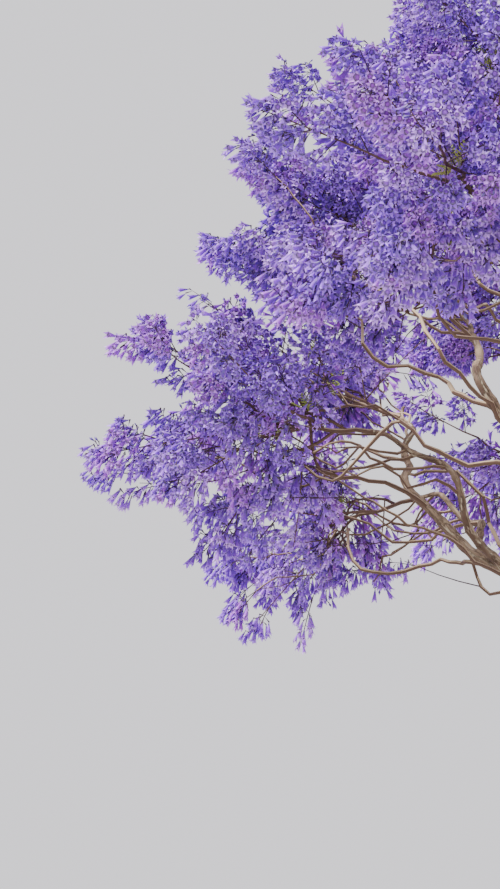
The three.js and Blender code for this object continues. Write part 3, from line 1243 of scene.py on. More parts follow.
@dataclass
class Wood:
    """The trunk, the leaders, the boughs and the limbs, each a bark mesh on its own node."""

    skeleton: Skeleton
    bark: Bark = field(default_factory=Bark)
    relief: BarkRelief = field(default_factory=BarkRelief)
    knot_spacing: float = 75.0
    knot_height: float = 0.34
    knot_size: float = 30.0
    knot_width: float = 0.9
    knot_free_root: float = 2.5
    grain_gap: float = 9000.0
    join: float = 1.2
    join_samples: int = 90
    bare_root: float = 1.1
    easing: float = 2.2
    root_dome: float = 0.9
    tip_dome: float = 0.5
    tip_rise: float = 0.2
    dome_rings: Steps = (0.5, 0.8, 0.94)
    tenon_rings: Steps = (0.15, 0.4, 0.6)
    tenon_shares: Steps = (0.97, 0.9, 0.6)
    grains: dict[str, Range] = field(default_factory=dict)

    def build(self) -> list[Piece]:
        """Makes a bark mesh for every woody node.

        Returns:
            The pieces, one to a node.
        """
        material = self.bark.material()
        tree = self.relief.tree()
        pieces = []
        for index, limb in enumerate(self.skeleton.wood):
            self.grains[limb.name] = self.grain_of(limb, index)
            piece = self.tube(limb, index)
            bake_nodes(piece, tree, {"Bark": material})
            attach(piece, "root")
            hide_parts(limb.name)
            pieces.append(piece)
        return pieces

    def grain_of(self, limb: Limb, index: int) -> tuple[float, float]:
        """Where a limb's grain starts: how far along and how far round.

        Args:
            limb: The limb. One that grows on from a tip takes up its parent's grain.
            index: Its number, which keeps the grains of the others apart.

        Returns:
            The start in millimetres and the turn in radians.
        """
        if not limb.from_tip:
            return self.grain_gap * index, 0.0
        start, turn = self.grains[limb.parent.name]
        side, over = self.frame_at(limb.parent.line, np.array(1.0))
        own = self.frame_at(limb.line, np.array(0.0))[0]
        return start + limb.parent.line.span, turn + math.atan2(own @ over, own @ side)

    def frame_at(self, line: CrookedLine, t: Array) -> Pair:
        """The two directions across a line, at a share of the way along or at several."""
        along = line.tangent(t)
        side = unit(line.side - along * (along @ line.side)[..., None])
        return side, np.cross(side, along)

    def tube(self, limb: Limb, index: int) -> Piece:
        """A limb's closed tube, with its grain and its girth.

        Args:
            limb: The limb.
            index: Its number, for its knots.

        Returns:
            The mesh object, before its relief is raised.
        """
        skin = self.skin_of(limb, index)
        rows = skin.middles[:, None] + skin.out * skin.radii[..., None]
        swelling = self.swelling_at_joins(limb, rows.reshape(-1, 3)).reshape(skin.radii.shape)
        if skin.hidden and not limb.from_tip:
            bare = self.bare_root * skin.radii[skin.hidden].mean()
            run = np.maximum(skin.travelled, 0) / bare
            swelling = swelling * (1 - np.exp(-(run**2)))[:, None]
        rows = rows + skin.out * swelling[..., None]
        foot, top = skin.middles[:1], skin.middles[-1:] + skin.along[-1] * self.tip_rise
        points = np.concatenate([rows.reshape(-1, 3), foot, top])
        girth = np.concatenate([skin.radii.ravel(), [0, 0]])
        if limb.parent is None:
            girth[: limb.kind.sides] = 0
        values = {"grain": self.grain_points(limb, skin) * MM, "girth": girth * MM}
        faces = self.tube_faces(*skin.radii.shape)
        return mesh_object(f"bark_{limb.name}", points * MM, faces=faces, attributes=values)

    def skin_of(self, limb: Limb, index: int) -> Skin:
        """The rings of a limb's tube, with those that close its ends.

        Args:
            limb: The limb. The trunk's foot is cut flat.
            index: Its number, for its knots.

        Returns:
            Its skin, before it swells at its joins.
        """
        line = limb.line
        t = np.linspace(0, 1, limb.kind.rings)
        turn = even_turns(limb.kind.sides)
        radii = limb.radius_at(t[:, None], turn[None, :])
        radii = radii * ((1 + self.knots(limb, index)(t)) * self.eased(limb, t))[:, None]
        along, middles = line.tangent(t), line.point(t)
        joined = bool(self.followers(limb))
        tip_run, tip_share = self.end_rings(radii[-1].mean(), self.tip_dome, joined)
        root_run, root_share = self.end_rings(radii[0].mean(), self.root_dome, limb.from_tip)
        hidden = 0 if limb.parent is None else len(root_run)
        root_run, root_share = root_run[::-1][:hidden], root_share[::-1][:hidden]
        side, over = (
            np.concatenate([each[:1].repeat(hidden, 0), each, each[-1:].repeat(len(tip_run), 0)])
            for each in self.frame_at(line, t)
        )
        cos, sin = np.cos(turn)[None, :, None], np.sin(turn)[None, :, None]
        return Skin(
            middles=np.concatenate([
                middles[0] - along[0] * root_run[:, None], middles,
                middles[-1] + along[-1] * tip_run[:, None],
            ]),
            along=along,
            out=side[:, None] * cos + over[:, None] * sin,
            radii=np.concatenate([
                radii[:1] * root_share[:, None], radii, radii[-1:] * tip_share[:, None]
            ]),
            travelled=np.concatenate([-root_run, t * line.span, line.span + tip_run]),
            hidden=hidden,
        )

    def grain_points(self, limb: Limb, skin: Skin) -> Array:
        """Each point's place in the bark's pattern: across the limb and along it.

        Args:
            limb: The limb.
            skin: Its skin.

        Returns:
            The places, in millimetres.
        """
        start, turned = self.grains[limb.name]
        turn = even_turns(limb.kind.sides)
        grain = np.stack([
            skin.radii * np.cos(turn + turned), skin.radii * np.sin(turn + turned),
            np.broadcast_to(start + skin.travelled[:, None], skin.radii.shape),
        ], axis=-1)
        ends = [[0, 0, start], [0, 0, start + limb.line.span]]
        return np.concatenate([grain.reshape(-1, 3), ends])

    def tube_faces(self, rings: int, sides: int) -> Array:
        """The triangles of a closed tube, whose last two points are its ends' middles.

        Args:
            rings: How many rings it has.
            sides: How many sides.

        Returns:
            Three vertex numbers to a row.
        """
        ring = np.arange(sides)
        lower = (np.arange(rings - 1)[:, None] * sides + ring).ravel()
        beside = (np.arange(rings - 1)[:, None] * sides + (ring + 1) % sides).ravel()
        quads = np.stack([lower, lower + sides, beside + sides, beside], axis=1)
        foot, top = rings * sides, rings * sides + 1
        base = np.stack([np.full(sides, foot), ring, (ring + 1) % sides], axis=1)
        last = (rings - 1) * sides
        cap = np.stack([np.full(sides, top), last + (ring + 1) % sides, last + ring], axis=1)
        return np.concatenate([quads[:, [0, 1, 2]], quads[:, [0, 2, 3]], base, cap])

    def end_rings(self, radius: float, depth: float, joined: bool) -> Pair:
        """The rings that close a limb's end.

        Args:
            radius: The radius at the end, in millimetres.
            depth: How far the end's dome stands out, as a share of the radius.
            joined: True if another limb runs on from it, so that it ends in a tenon.

        Returns:
            How far past the end each ring lies, and its radius as a share of the end's.
        """
        if joined:
            return radius * np.array(self.tenon_rings), np.array(self.tenon_shares)
        dome = np.array(self.dome_rings)
        return dome * radius * depth, np.sqrt(1 - dome**2)

    def swelling_at_joins(self, limb: Limb, points: Array) -> Array:
        """How far a limb's skin swells where it meets its parent, its branches and its fellows.

        Two skins that cross each swell by the smooth union of the two, which fills the crease.

        Args:
            limb: The limb.
            points: The points of its skin, in millimetres.

        Returns:
            The swelling at each point, in millimetres.
        """
        swelling = np.zeros(len(points))
        t = np.linspace(0, 1, self.join_samples)
        for other in self.skeleton.wood:
            end_to_end = (other.from_tip and other.parent is limb) or (
                limb.from_tip and limb.parent is other
            )
            kin = other.parent is limb or limb.parent is other or other.parent is limb.parent
            if other is limb or end_to_end or not kin:
                continue
            reach = self.join * min(limb.thickness(0.3), other.thickness(0.3))
            radii = other.radius_at(t, np.zeros_like(t)) * self.eased(other, t)
            away = np.linalg.norm(points[:, None] - other.line.point(t), axis=-1) - radii
            near = np.clip(1 - np.abs(away.min(axis=1)) / reach, 0, 1)
            swelling = np.maximum(swelling, near**2 * reach / 4)
        return swelling

    def knots(self, limb: Limb, index: int) -> Callable[[Array], Array]:
        """The slight swellings where old twigs stood, as a share of the radius.

        Args:
            limb: The limb. The trunk has none.
            index: Its number.

        Returns:
            A function of the share of the way along.
        """
        random = stream(Draw.KNOTS, index)
        count = 0 if limb.parent is None else int(limb.line.span / self.knot_spacing)
        places = [(k + 0.2 + 0.6 * random()) / count for k in range(count)]
        heights = [self.knot_height * mix(0.3, 1.0, random()) for _ in range(count)]

        def swelling(t: Array) -> Array:
            """The knots' own height over the plain radius."""
            total = np.zeros_like(t)
            for place, height in zip(places, heights):
                width = self.knot_width * limb.thickness(place)
                height *= min(1.0, self.knot_size / width)
                total += height * np.exp(-(((t - place) * limb.line.span / width) ** 2))
            total = total * (1 - self.near_tip(limb, t))
            bare = self.knot_free_root * limb.thickness(0.0)
            return total * (1 - np.exp(-((t * limb.line.span / bare) ** 2)))

        return swelling

    def eased(self, limb: Limb, t: Array) -> Array:
        """How a limb draws in near its tip to the root radius of the limb that goes on from it."""
        followers = self.followers(limb)
        if not followers:
            return np.ones_like(t)
        next_radius = max(each.thickness(0.0) for each in followers)
        return mix(1.0, next_radius / limb.thickness(1.0), self.near_tip(limb, t))

    def followers(self, limb: Limb) -> list[Limb]:
        """The limbs that grow on from a limb's tip."""
        return [other for other in self.skeleton.wood if other.parent is limb and other.from_tip]

    def near_tip(self, limb: Limb, t: Array) -> Array:
        """From 0 along most of a limb to 1 at its tip, if another limb grows on from there."""
        if not self.followers(limb):
            return np.zeros_like(t)
        near = np.clip(1 - (1 - t) * limb.line.span / (self.easing * limb.thickness(1.0)), 0, 1)
        return near**2 * (3 - 2 * near)


# Twigs, panicles and blossom.


@dataclass
class Strands:
    """Thin woody lines gathered for one mesh: points, thicknesses and the edges between them."""

    points: list[Array] = field(default_factory=list)
    radii: list[Array] = field(default_factory=list)
    edges: list[Array] = field(default_factory=list)
    count: int = 0

    def add(self, points: Array, radii: Array) -> None:
        """Adds one line of points, in millimetres, with its radius at each."""
        size = len(points)
        ids = np.arange(self.count, self.count + size)
        self.points.append(points)
        self.radii.append(radii)
        self.edges.append(np.stack([ids[:-1], ids[1:]], axis=1))
        self.count += size

    def mesh(self, name: str) -> Piece:
        """The lines as a mesh of edges, in metres."""
        values = {"thickness": np.concatenate(self.radii) * MM}
        points = np.concatenate(self.points) * MM
        return mesh_object(name, points, edges=np.concatenate(self.edges), attributes=values)


@dataclass
class Blooms:
    """Flowers, buds or calyces gathered for one mesh: root, direction, spin and size of each."""

    roots: list[Array] = field(default_factory=list)
    aims: list[Array] = field(default_factory=list)
    spins: list[Array] = field(default_factory=list)
    sizes: list[Array] = field(default_factory=list)

    def add(self, roots: Array, aims: Array, spins: Array, sizes: Array) -> None:
        """Adds some, in millimetres and radians."""
        self.roots.append(roots)
        self.aims.append(aims)
        self.spins.append(spins)
        self.sizes.append(sizes)

    def mesh(self, name: str) -> Piece:
        """Them as a mesh of points, in metres."""
        values = {
            "aim": np.concatenate(self.aims),
            "spin": np.concatenate(self.spins),
            "size": np.concatenate(self.sizes) * MM,
        }
        return mesh_object(name, np.concatenate(self.roots) * MM, attributes=values)


@dataclass(frozen=True)
class FlowerShape:
    """One jacaranda flower of length 1: a slender trumpet with five flared, ruffled lobes."""

    petals: int = 5
    mouth_at: float = 0.78
    mouth_radius: float = 0.165
    throat_at: float = 0.66
    lobe_at: float = 0.97
    lobe_radius: float = 0.29
    bend: float = 0.06
    ruffle: Steps = (1.0, 0.8, 1.14, 0.88, 1.06)
    ruffle_lift: float = 0.25

    def build(self) -> Piece:
        """The flower as a small mesh whose lobes are marked by an attribute.

        Returns:
            The pattern shape.
        """
        count = self.petals
        turn = even_turns(count)
        ring, between = circle(turn), circle(turn + np.pi / count)
        ruffle = np.array(self.ruffle)
        bow = np.array([self.bend, 0, 0])
        mouth = ring * self.mouth_radius + [0, 0, self.mouth_at] + bow
        lobes = between * (self.lobe_radius * ruffle)[:, None] + [0, 0, self.lobe_at]
        lobes[:, 2] += self.ruffle_lift * (1 - ruffle)
        throat = np.array([[0, 0, self.throat_at]]) + bow
        points = np.concatenate([[[0, 0, 0]], mouth, lobes, throat])
        tube, flare = [], []
        for i in range(count):
            here, there = 1 + i, 1 + (i + 1) % count
            tube += [(0, there, here), (here, there, len(points) - 1)]
            flare.append((here, there, here + count))
        made = mesh_object("flower_pattern", points, faces=np.array(tube + flare))
        rim = made.data.attributes.new("rim", "BOOLEAN", "FACE")
        rim.data.foreach_set("value", np.arange(len(tube + flare)) >= len(tube))
        return made


@dataclass(frozen=True)
class LeafShape:
    """A young feathered leaf of length 1: pairs of narrow leaflets along a rib."""

    pairs: int = 6
    first_at: float = 0.22
    spacing: float = 0.13
    leaflet: float = 0.3
    shrinking: float = 0.1
    rib_width: float = 0.012

    def build(self) -> Piece:
        """The leaf as a small mesh.

        Returns:
            The pattern shape.
        """
        points, faces = [], []
        for i in range(self.pairs):
            height = self.first_at + self.spacing * i
            length = self.leaflet * (1 - self.shrinking * i)
            for sign in (1, -1):
                base = len(points)
                points += [
                    (0, 0, height),
                    (sign * length * 0.5, 0.05, height + 0.02),
                    (sign * length, 0.02, height + 0.16),
                    (sign * length * 0.4, -0.02, height + 0.11),
                ]
                faces += [(base, base + 1, base + 2), (base, base + 2, base + 3)]
        base = len(points)
        points += [(self.rib_width, 0, 0), (-self.rib_width, 0, 0), (0, 0, 1)]
        faces.append((base, base + 1, base + 2))
        return mesh_object("leaf_pattern", np.array(points, float), faces=np.array(faces))


def spindle(name: str, sides: int, rows: Sequence[Range], capped: bool = True) -> Piece:
    """A small pattern shape round its axis, of length 1.

    Args:
        name: Its name.
        sides: How many sides it has.
        rows: Height and radius of each ring, from the root up. A radius of 0 is a point.
        capped: Whether its end is closed. A calyx holds its flower there.

    Returns:
        The mesh object.
    """
    turn = even_turns(sides)
    points: list[tuple[float, float, float]] = []
    rings: list[list[int]] = []
    for height, radius in rows:
        count = sides if radius > 0 else 1
        rings.append(list(range(len(points), len(points) + count)))
        angles = turn[:count]
        points += [(radius * math.cos(a), radius * math.sin(a), height) for a in angles]
    faces = []
    for low, high in zip(rings, rings[1:]):
        for i in range(sides):
            a, b = low[i % len(low)], low[(i + 1) % len(low)]
            c, d = high[i % len(high)], high[(i + 1) % len(high)]
            if a != b:
                faces.append((a, b, d))
            if c != d:
                faces.append((a, d, c))
    top = rings[-1] if capped else []
    faces += [(top[0], top[i], top[i + 1]) for i in range(1, len(top) - 1)]
    return mesh_object(name, np.array(points, float), faces=np.array(faces))


def bloom_tree() -> Tree:
    """The node tree that stands a pattern shape on every point, turned to its aim.

    Returns:
        The tree.
    """
    tree = open_tree(
        "blooms_on_stalks",
        {
            "Pattern": ("Object", None),
            "Unevenness": ("Float", 0.08),
            "Seed": ("Int", 7),
            "Body": ("Material", None),
            "Rim": ("Material", None),
        },
    )
    given = node_of(tree, "NodeGroupInput").outputs
    pattern = add_node(tree, "GeometryNodeObjectInfo", {"Object": given["Pattern"]})
    aim = {"Vector": read_attribute(tree, "aim", "FLOAT_VECTOR")}
    turned = result(tree, "FunctionNodeAlignRotationToVector", aim, axis="Z")
    spin = {"Axis": (0.0, 0.0, 1.0), "Angle": read_attribute(tree, "spin", "FLOAT")}
    spun = result(tree, "FunctionNodeAxisAngleToRotation", spin)
    rotation = result(
        tree, "FunctionNodeRotateRotation",
        {"Rotation": turned, "Rotate By": spun}, rotation_space="LOCAL",
    )
    low = calculate(tree, "SUBTRACT", 1.0, given["Unevenness"])
    high = calculate(tree, "ADD", 1.0, given["Unevenness"])
    limits = {2: low, 3: high, "Seed": given["Seed"]}
    uneven = add_node(tree, "FunctionNodeRandomValue", limits, data_type="FLOAT").outputs[1]
    placed = result(
        tree, "GeometryNodeInstanceOnPoints",
        {
            "Points": given["Geometry"],
            "Instance": pattern.outputs["Geometry"],
            "Rotation": rotation,
            "Scale": calculate(tree, "MULTIPLY", read_attribute(tree, "size", "FLOAT"), uneven),
        },
    )
    body = cover(tree, realize(tree, placed, smooth=False), given["Body"])
    rim = cover(tree, body, given["Rim"], only=read_attribute(tree, "rim", "BOOLEAN"))
    return close_tree(tree, rim)


def strand_tree() -> Tree:
    """The node tree that makes lines of edges into thin tubes of their own thickness, with painted
    shade on their undersides.

    Returns:
        The tree.
    """
    tree = open_tree(
        "twigs_along_lines",
        {
            "Sides": ("Int", 3),
            "Bark": ("Material", None),
            "Underside": ("Material", None),
            "Underside Below": ("Float", -0.1),
        },
    )
    given = node_of(tree, "NodeGroupInput").outputs
    ring = {"Resolution": given["Sides"], "Radius": 1.0}
    tube = result(
        tree, "GeometryNodeCurveToMesh",
        {
            "Curve": result(tree, "GeometryNodeMeshToCurve", {"Mesh": given["Geometry"]}),
            "Profile Curve": result(tree, "GeometryNodeCurvePrimitiveCircle", ring),
            "Scale": read_attribute(tree, "thickness", "FLOAT"),
            "Fill Caps": True,
        },
    )
    bark = cover(tree, realize(tree, tube, smooth=True), given["Bark"])
    # Painted shade: faces that point downward take the darker underside material.
    normal = result(tree, "GeometryNodeInputNormal")
    upward = add_node(tree, "ShaderNodeSeparateXYZ", {0: normal}).outputs["Z"]
    limits = {0: upward, 1: given["Underside Below"]}
    kind = {"data_type": "FLOAT", "operation": "LESS_THAN"}
    below = result(tree, "FunctionNodeCompare", limits, **kind)
    return close_tree(tree, cover(tree, bark, given["Underside"], only=below))


@dataclass(frozen=True)
class StrandSize:
    """A thin woody line's sizes, in millimetres: its radii and how far its nodes stand off."""

    root: float
    tip: float
    swing: float = 0.0


@dataclass(frozen=True)
class PanicleRule:
    """How a panicle grows: shares of its stalk, sizes in millimetres and weights of directions."""

    stalk_points: Steps = (0, 0.4, 0.75, 1)
    stalk_radii: Steps = (3.6, 3.0, 2.3, 1.4)
    sag: float = 0.1
    whorl: int = 4
    whorl_spacing: float = 26.0
    flowered: float = 0.66
    first_whorl: float = 0.34
    lowest_flower: float = 0.3
    jitter: float = 0.03
    pedicel: float = 34.0
    pedicel_range: Range = (0.6, 1.3)
    pedicel_aside: float = 0.9
    pedicel_along: float = 0.45
    drop_range: Range = (0.5, 1.4)
    aim_pedicel: float = 0.55
    aim_outward: float = 0.32
    aim_along: float = 0.15
    flower_length: float = 84.0
    flower_range: Range = (0.8, 1.12)
    flower_sunk: float = 4.0
    calyx_share: float = 1.12
    root_clearance: float = 24.0
    tip_clearance: float = 12.0
    throat_run: float = 30.0
    past_space: float = 25.0
    past_spray: float = 1.22
    buds_at_root: float = 0.03
    buds_at_tip: float = 0.15
    bud_length: Range = (24.0, 48.0)
    bud_sunk: float = 2.0
    bud_droop: float = 0.5


@dataclass
class Branch:
    """One side branch: the mass that it runs into, its points and radii, and its generator."""

    growth: Growth
    points: Array
    radii: Array
    random: Random


@dataclass
class Shoot:
    """What grows anew: its mass, its start in millimetres, its direction and its generator."""

    growth: Growth
    start: Array
    out: Array
    random: Random


@dataclass
class Crown:
    """All that grows in the blossom masses, from their stems to the last flower.

    The sprays of the solids become panicles of flowers that fill the same space, and smaller
    panicles on the twigs close the space between them. The flowers are about twice life size.
    Lengths are in millimetres, and angles in degrees.
    """

    skeleton: Skeleton
    panicle: PanicleRule = field(default_factory=PanicleRule)
    stem: StrandSize = StrandSize(13.5, 7.0, 5)
    stem_sunk: float = 14.0
    branch: StrandSize = StrandSize(13.0, 3.6, 13)
    branch_share: float = 0.55
    branch_wander: float = 0.09
    branch_tries: int = 8
    branch_depth: Range = (0.35, 0.85)
    branch_facing: Range = (0.25, 0.92)
    limb_branches: int = 5
    bough_branches: int = 4
    limb_bare: float = 0.4
    bough_bare: float = 0.5
    last_root: float = 0.98
    twig: StrandSize = StrandSize(9.5, 4.4, 9)
    thin_twig: StrandSize = StrandSize(4.4, 2.0)
    thin_twigs: int = 8
    thin_twig_run: Range = (260, 560)
    shortest_thin_twig: float = 140.0
    thin_twig_bow: float = 0.07
    thin_twig_fan: Range = (8, 42)
    end_panicles: int = 3
    end_run: Range = (220, 320)
    end_fan: Range = (10, 50)
    tip_run: Range = (200, 290)
    shortest_run: float = 100.0
    panicles_on_twig: int = 8
    twig_run: Range = (230, 330)
    shortest_twig_run: float = 110.0
    twig_fan: Range = (48, 80)
    panicles_in_spray: int = 9
    spray_radii: Steps = (4.6, 3.8, 3.0, 2.0)
    spray_sway: float = 16.0
    spray_roots: Range = (0.12, 0.66)
    spray_fan: Range = (72, 12)
    spray_wobble: float = 7.0
    spray_skin: float = 0.94
    spray_run: Range = (60, 330)
    fullness: float = 1.5
    clump_size: float = 260.0
    sparse_below: Range = (0.18, -0.36)
    thinning: Range = (1.0, 1.60)
    fewest: float = 0.2
    spray_reach: float = 1.3
    bare_reach: float = 1.1
    top_reach: float = 1300.0
    top_height: float = 5800.0
    hollow_drop: float = 70.0
    hollow_radius: float = 62.0
    leaves_in_tuft: int = 6
    leaf_length: Range = (80, 125)
    branches: Strands = field(default_factory=Strands)
    twigs: Strands = field(default_factory=Strands)
    stalks: Strands = field(default_factory=Strands)
    flowers: dict[Tint, Blooms] = field(default_factory=lambda: {t: Blooms() for t in Tint})
    calyces: Blooms = field(default_factory=Blooms)
    buds: Blooms = field(default_factory=Blooms)
    leaves: Blooms = field(default_factory=Blooms)
    hollows: Pair = field(default_factory=tuple)
    hollows_near: dict[int, Pair] = field(default_factory=dict)
    spray_spaces: tuple[Array, Array, Array] | None = None

    def build(self) -> list[Piece]:
        """Grows every mass and makes the joined meshes of each kind.

        Returns:
            The pieces.
        """
        branches = self.lay_branches()
        self.hollows = self.hollows_under(branches)
        for growth in self.skeleton.growths:
            self.fill(growth)
        for branch in branches:
            self.dress_branch(branch)
        nodes = [f"blossom_{mass.name}" for mass in self.skeleton.masses]
        pieces = [*self.woody_pieces(), *self.flower_pieces(), *self.small_pieces()]
        for piece in pieces:
            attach(piece, "root")
            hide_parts(*nodes)
        return pieces

    def woody_pieces(self) -> list[Piece]:
        """The pale side branches with painted shade on their undersides, the brown twigs and the
        thin dark stalks of the panicles.

        Returns:
            The pieces.
        """
        tree = strand_tree()
        tan, shaded = YOUNG_BRANCH_BARK.material(), SHADED_BRANCH_BARK.material()
        brown, dark = YOUNG_TWIG_BARK.material(), PANICLE_STALK.material()
        jobs = (
            ("twigs_branches", self.branches, 6, tan, shaded),
            ("twigs_brown", self.twigs, 5, brown, brown),
            ("twigs_stalks", self.stalks, 3, dark, dark),
        )
        return [
            bake_nodes(lines.mesh(name), tree, {"Sides": sides, "Bark": bark, "Underside": under})
            for name, lines, sides, bark, under in jobs
        ]

    def flower_pieces(self) -> list[Piece]:
        """One joined mesh of flowers for each petal tint.

        Returns:
            The pieces.
        """
        tree = bloom_tree()
        pattern = FlowerShape().build()
        pieces = []
        for tint, blooms in self.flowers.items():
            tube, lobe = tint.value
            name = tint.name.lower()
            values = {
                "Pattern": pattern,
                "Body": SoftGrowth(f"petal_tube_{name}", tube).material(),
                "Rim": SoftGrowth(f"petal_lobe_{name}", lobe).material(),
            }
            pieces.append(bake_nodes(blooms.mesh(f"blossom_{name}"), tree, values))
        bpy.data.objects.remove(pattern)
        return pieces

    def small_pieces(self) -> list[Piece]:
        """The calyces on their pedicels, the buds and the young leaves.

        Returns:
            The pieces.
        """
        tree = bloom_tree()
        calyx = spindle("calyx_pattern", 3, [(0, 0), (1.0, 0.12)], capped=False)
        bud = spindle("bud_pattern", 3, [(0, 0), (0.62, 0.2), (1.0, 0)])
        jobs = (
            ("calyces", self.calyces, calyx, CALYX),
            ("buds", self.buds, bud, BUD_PETAL),
            ("young_leaves", self.leaves, LeafShape().build(), YOUNG_LEAF),
        )
        pieces = []
        for name, blooms, pattern, finish in jobs:
            material = finish.material()
            values = {"Pattern": pattern, "Body": material, "Rim": material, "Unevenness": 0.0}
            pieces.append(bake_nodes(blooms.mesh(name), tree, values))
            bpy.data.objects.remove(pattern)
        return pieces

    def fill(self, growth: Growth) -> None:
        """Grows one mass: its stem, its twigs with their sprays, and its young leaves.

        Args:
            growth: What grows in it.
        """
        mass = growth.mass
        random = np.random.default_rng([SEED, mass.serial])
        sunk = mass.entry - mass.along * self.stem_sunk
        stem = np.concatenate([[sunk], growth.stem.point(np.linspace(0, 1, 9))])
        self.branches.add(*self.crooked(stem, self.stem, random))
        for twig in growth.twigs:
            self.grow_twig(growth, twig, random)
        self.grow_leaves(growth, random)

    def lay_branches(self) -> list[Branch]:
        """The side branches of the limbs and boughs, each into a mass near its end.

        Returns:
            The branches that found a way.
        """
        skeleton = self.skeleton
        bearers = [*skeleton.wide_boughs, *skeleton.rising_boughs, *skeleton.limbs]
        laid = []
        for index, limb in enumerate(bearers):
            random = np.random.default_rng([SEED, 100 + index])
            tip = limb.line.point(1.0)
            near = sorted(
                skeleton.growths, key=lambda each: float(np.linalg.norm(each.mass.centre - tip))
            )
            slender = limb.kind is LIMB
            count = self.limb_branches if slender else self.bough_branches
            bare = self.limb_bare if slender else self.bough_bare
            for i in range(count):
                at = mix(bare, self.last_root, (i + random.uniform(0.2, 0.8)) / count)
                growth = near[0] if slender else near[i % 3]
                laid.append(self.lay_branch(growth, limb, at, random))
        return [branch for branch in laid if branch]

    def hollows_under(self, branches: Sequence[Branch]) -> Pair:
        """Balls that hang below twigs and branches, where no flower hides them from below.

        Args:
            branches: The side branches.

        Returns:
            The balls' middles and radii.
        """
        share = np.linspace(0.08, 0.72, 9)
        lines = [growth.stem for growth in self.skeleton.growths]
        lines += [twig.line for growth in self.skeleton.growths for twig in growth.twigs]
        points = [line.point(share) for line in lines]
        points += [branch.points[1 : 1 + int(0.7 * len(branch.points))] for branch in branches]
        middles = np.concatenate(points) - UP * self.hollow_drop
        return middles, np.full(len(middles), self.hollow_radius)

    def crooked(self, points: Array, size: StrandSize, random: Random) -> Pair:
        """Points bent by turns at each node, and radii that swell a little there.

        Args:
            points: The line's points, in millimetres.
            size: The line's radii and swing.
            random: The mass's generator.

        Returns:
            The new points and the radius at each.
        """
        share = np.linspace(0, 1, len(points))
        lean = random.normal(0, 1, points.shape)
        lean *= (size.swing / np.maximum(np.linalg.norm(lean, axis=1), 0.3))[:, None]
        lean[[0, -1]] = 0
        swelling = 1 + random.uniform(-0.08, 0.16, len(points))
        return points + lean, mix(size.root, size.tip, share) * swelling

    def lay_branch(self, growth: Growth, limb: Limb, at: float, random: Random) -> Branch | None:
        """Lays one crooked branch from a limb into a mass.

        Args:
            growth: The mass that it runs to.
            limb: The limb that it springs from.
            at: Where on the limb, as a share.
            random: The limb's generator.

        Returns:
            The branch, or None where no good way is found.
        """
        mass = growth.mass
        along = limb.line.tangent(at)
        start = limb.line.point(at)
        least, most = self.branch_facing
        for _ in range(self.branch_tries):
            aim = unit(random.normal(0, 1, 3) + mass.along * 0.2)
            reach = float(self.skeleton.space_reach(mass, aim[None])[0])
            end = mass.centre + aim * reach * random.uniform(*self.branch_depth)
            facing = float(unit(end - start) @ along)
            if least < facing < most and self.in_crown(end):
                break
        else:
            return None
        chord = end - start
        span = float(np.linalg.norm(chord))
        aside = unit(chord - along * (chord @ along))
        leave = unit(0.7 * along + 0.7 * aside)
        line = CrookedLine(start, leave, end, unit(chord), self.branch_wander, random.random)
        points = line.point(np.linspace(0, 1, max(6, round(span / 62))))
        thick = min(self.branch_share * limb.thickness(at), self.branch.root)
        size = StrandSize(thick, self.branch.tip, self.branch.swing)
        points, radii = self.crooked(points, size, random)
        return Branch(growth, points, radii, random)

    def dress_branch(self, branch: Branch) -> None:
        """Grows a branch's wood, the thin twigs near its end and its last panicles.

        Args:
            branch: The branch.
        """
        growth, points, random = branch.growth, branch.points, branch.random
        mass = growth.mass
        self.branches.add(points, branch.radii)
        count = len(points)
        for i in range(self.thin_twigs):
            node = int(mix(0.3 * count, count - 1, i / (self.thin_twigs - 1)))
            outward = unit(points[node] - mass.centre + mass.along * 200)
            heading = unit(unit(points[node] - points[node - 1]) + 0.6 * outward)
            out = self.fanned(heading, i, self.thin_twig_fan, random)
            self.grow_thin_twig(Shoot(growth, points[node], out, random))
        outward = unit(unit(points[-1] - points[-2]) + 0.5 * unit(points[-1] - mass.centre))
        for i in range(self.end_panicles):
            out = self.fanned(outward, i, self.end_fan, random)
            shoot = Shoot(growth, points[-1], out, random)
            self.add_panicle(shoot, self.end_run, self.shortest_run)

    def fanned(self, along: Array, i: int, wide: Range, random: Random) -> Array:
        """A direction fanned round another by the golden angle, between two angles in degrees."""
        turn = math.radians(GOLDEN_ANGLE * i) + random.uniform(0, 0.6)
        fan = math.radians(random.uniform(*wide))
        return fan_out((*square_to(along), along), turn, fan)

    def grow_thin_twig(self, shoot: Shoot) -> None:
        """Grows a long thin twig with a panicle on its end.

        Where no panicle fits, the twig is bare, and only grows if it stays close to the blossom.

        Args:
            shoot: Where it starts, and its direction.
        """
        start, out, random = shoot.start, shoot.out, shoot.random
        run = self.free_run(shoot, random.uniform(*self.thin_twig_run))
        if run < self.shortest_thin_twig:
            return
        share = np.linspace(0, 1, 5)
        side, over = square_to(out)
        most = self.thin_twig_bow
        bow = (side * random.uniform(-most, most) + over * random.uniform(-most, most)) * run
        line = start + out * (share * run)[:, None] + bow * np.sin(share * 4.2)[:, None]
        tip = Shoot(shoot.growth, line[3], out, random)
        grown = self.add_panicle(tip, self.tip_run, self.shortest_run)
        if grown or self.depth_in_crown(line[-1]) < self.bare_reach:
            self.stalks.add(line, mix(self.thin_twig.root, self.thin_twig.tip, share))

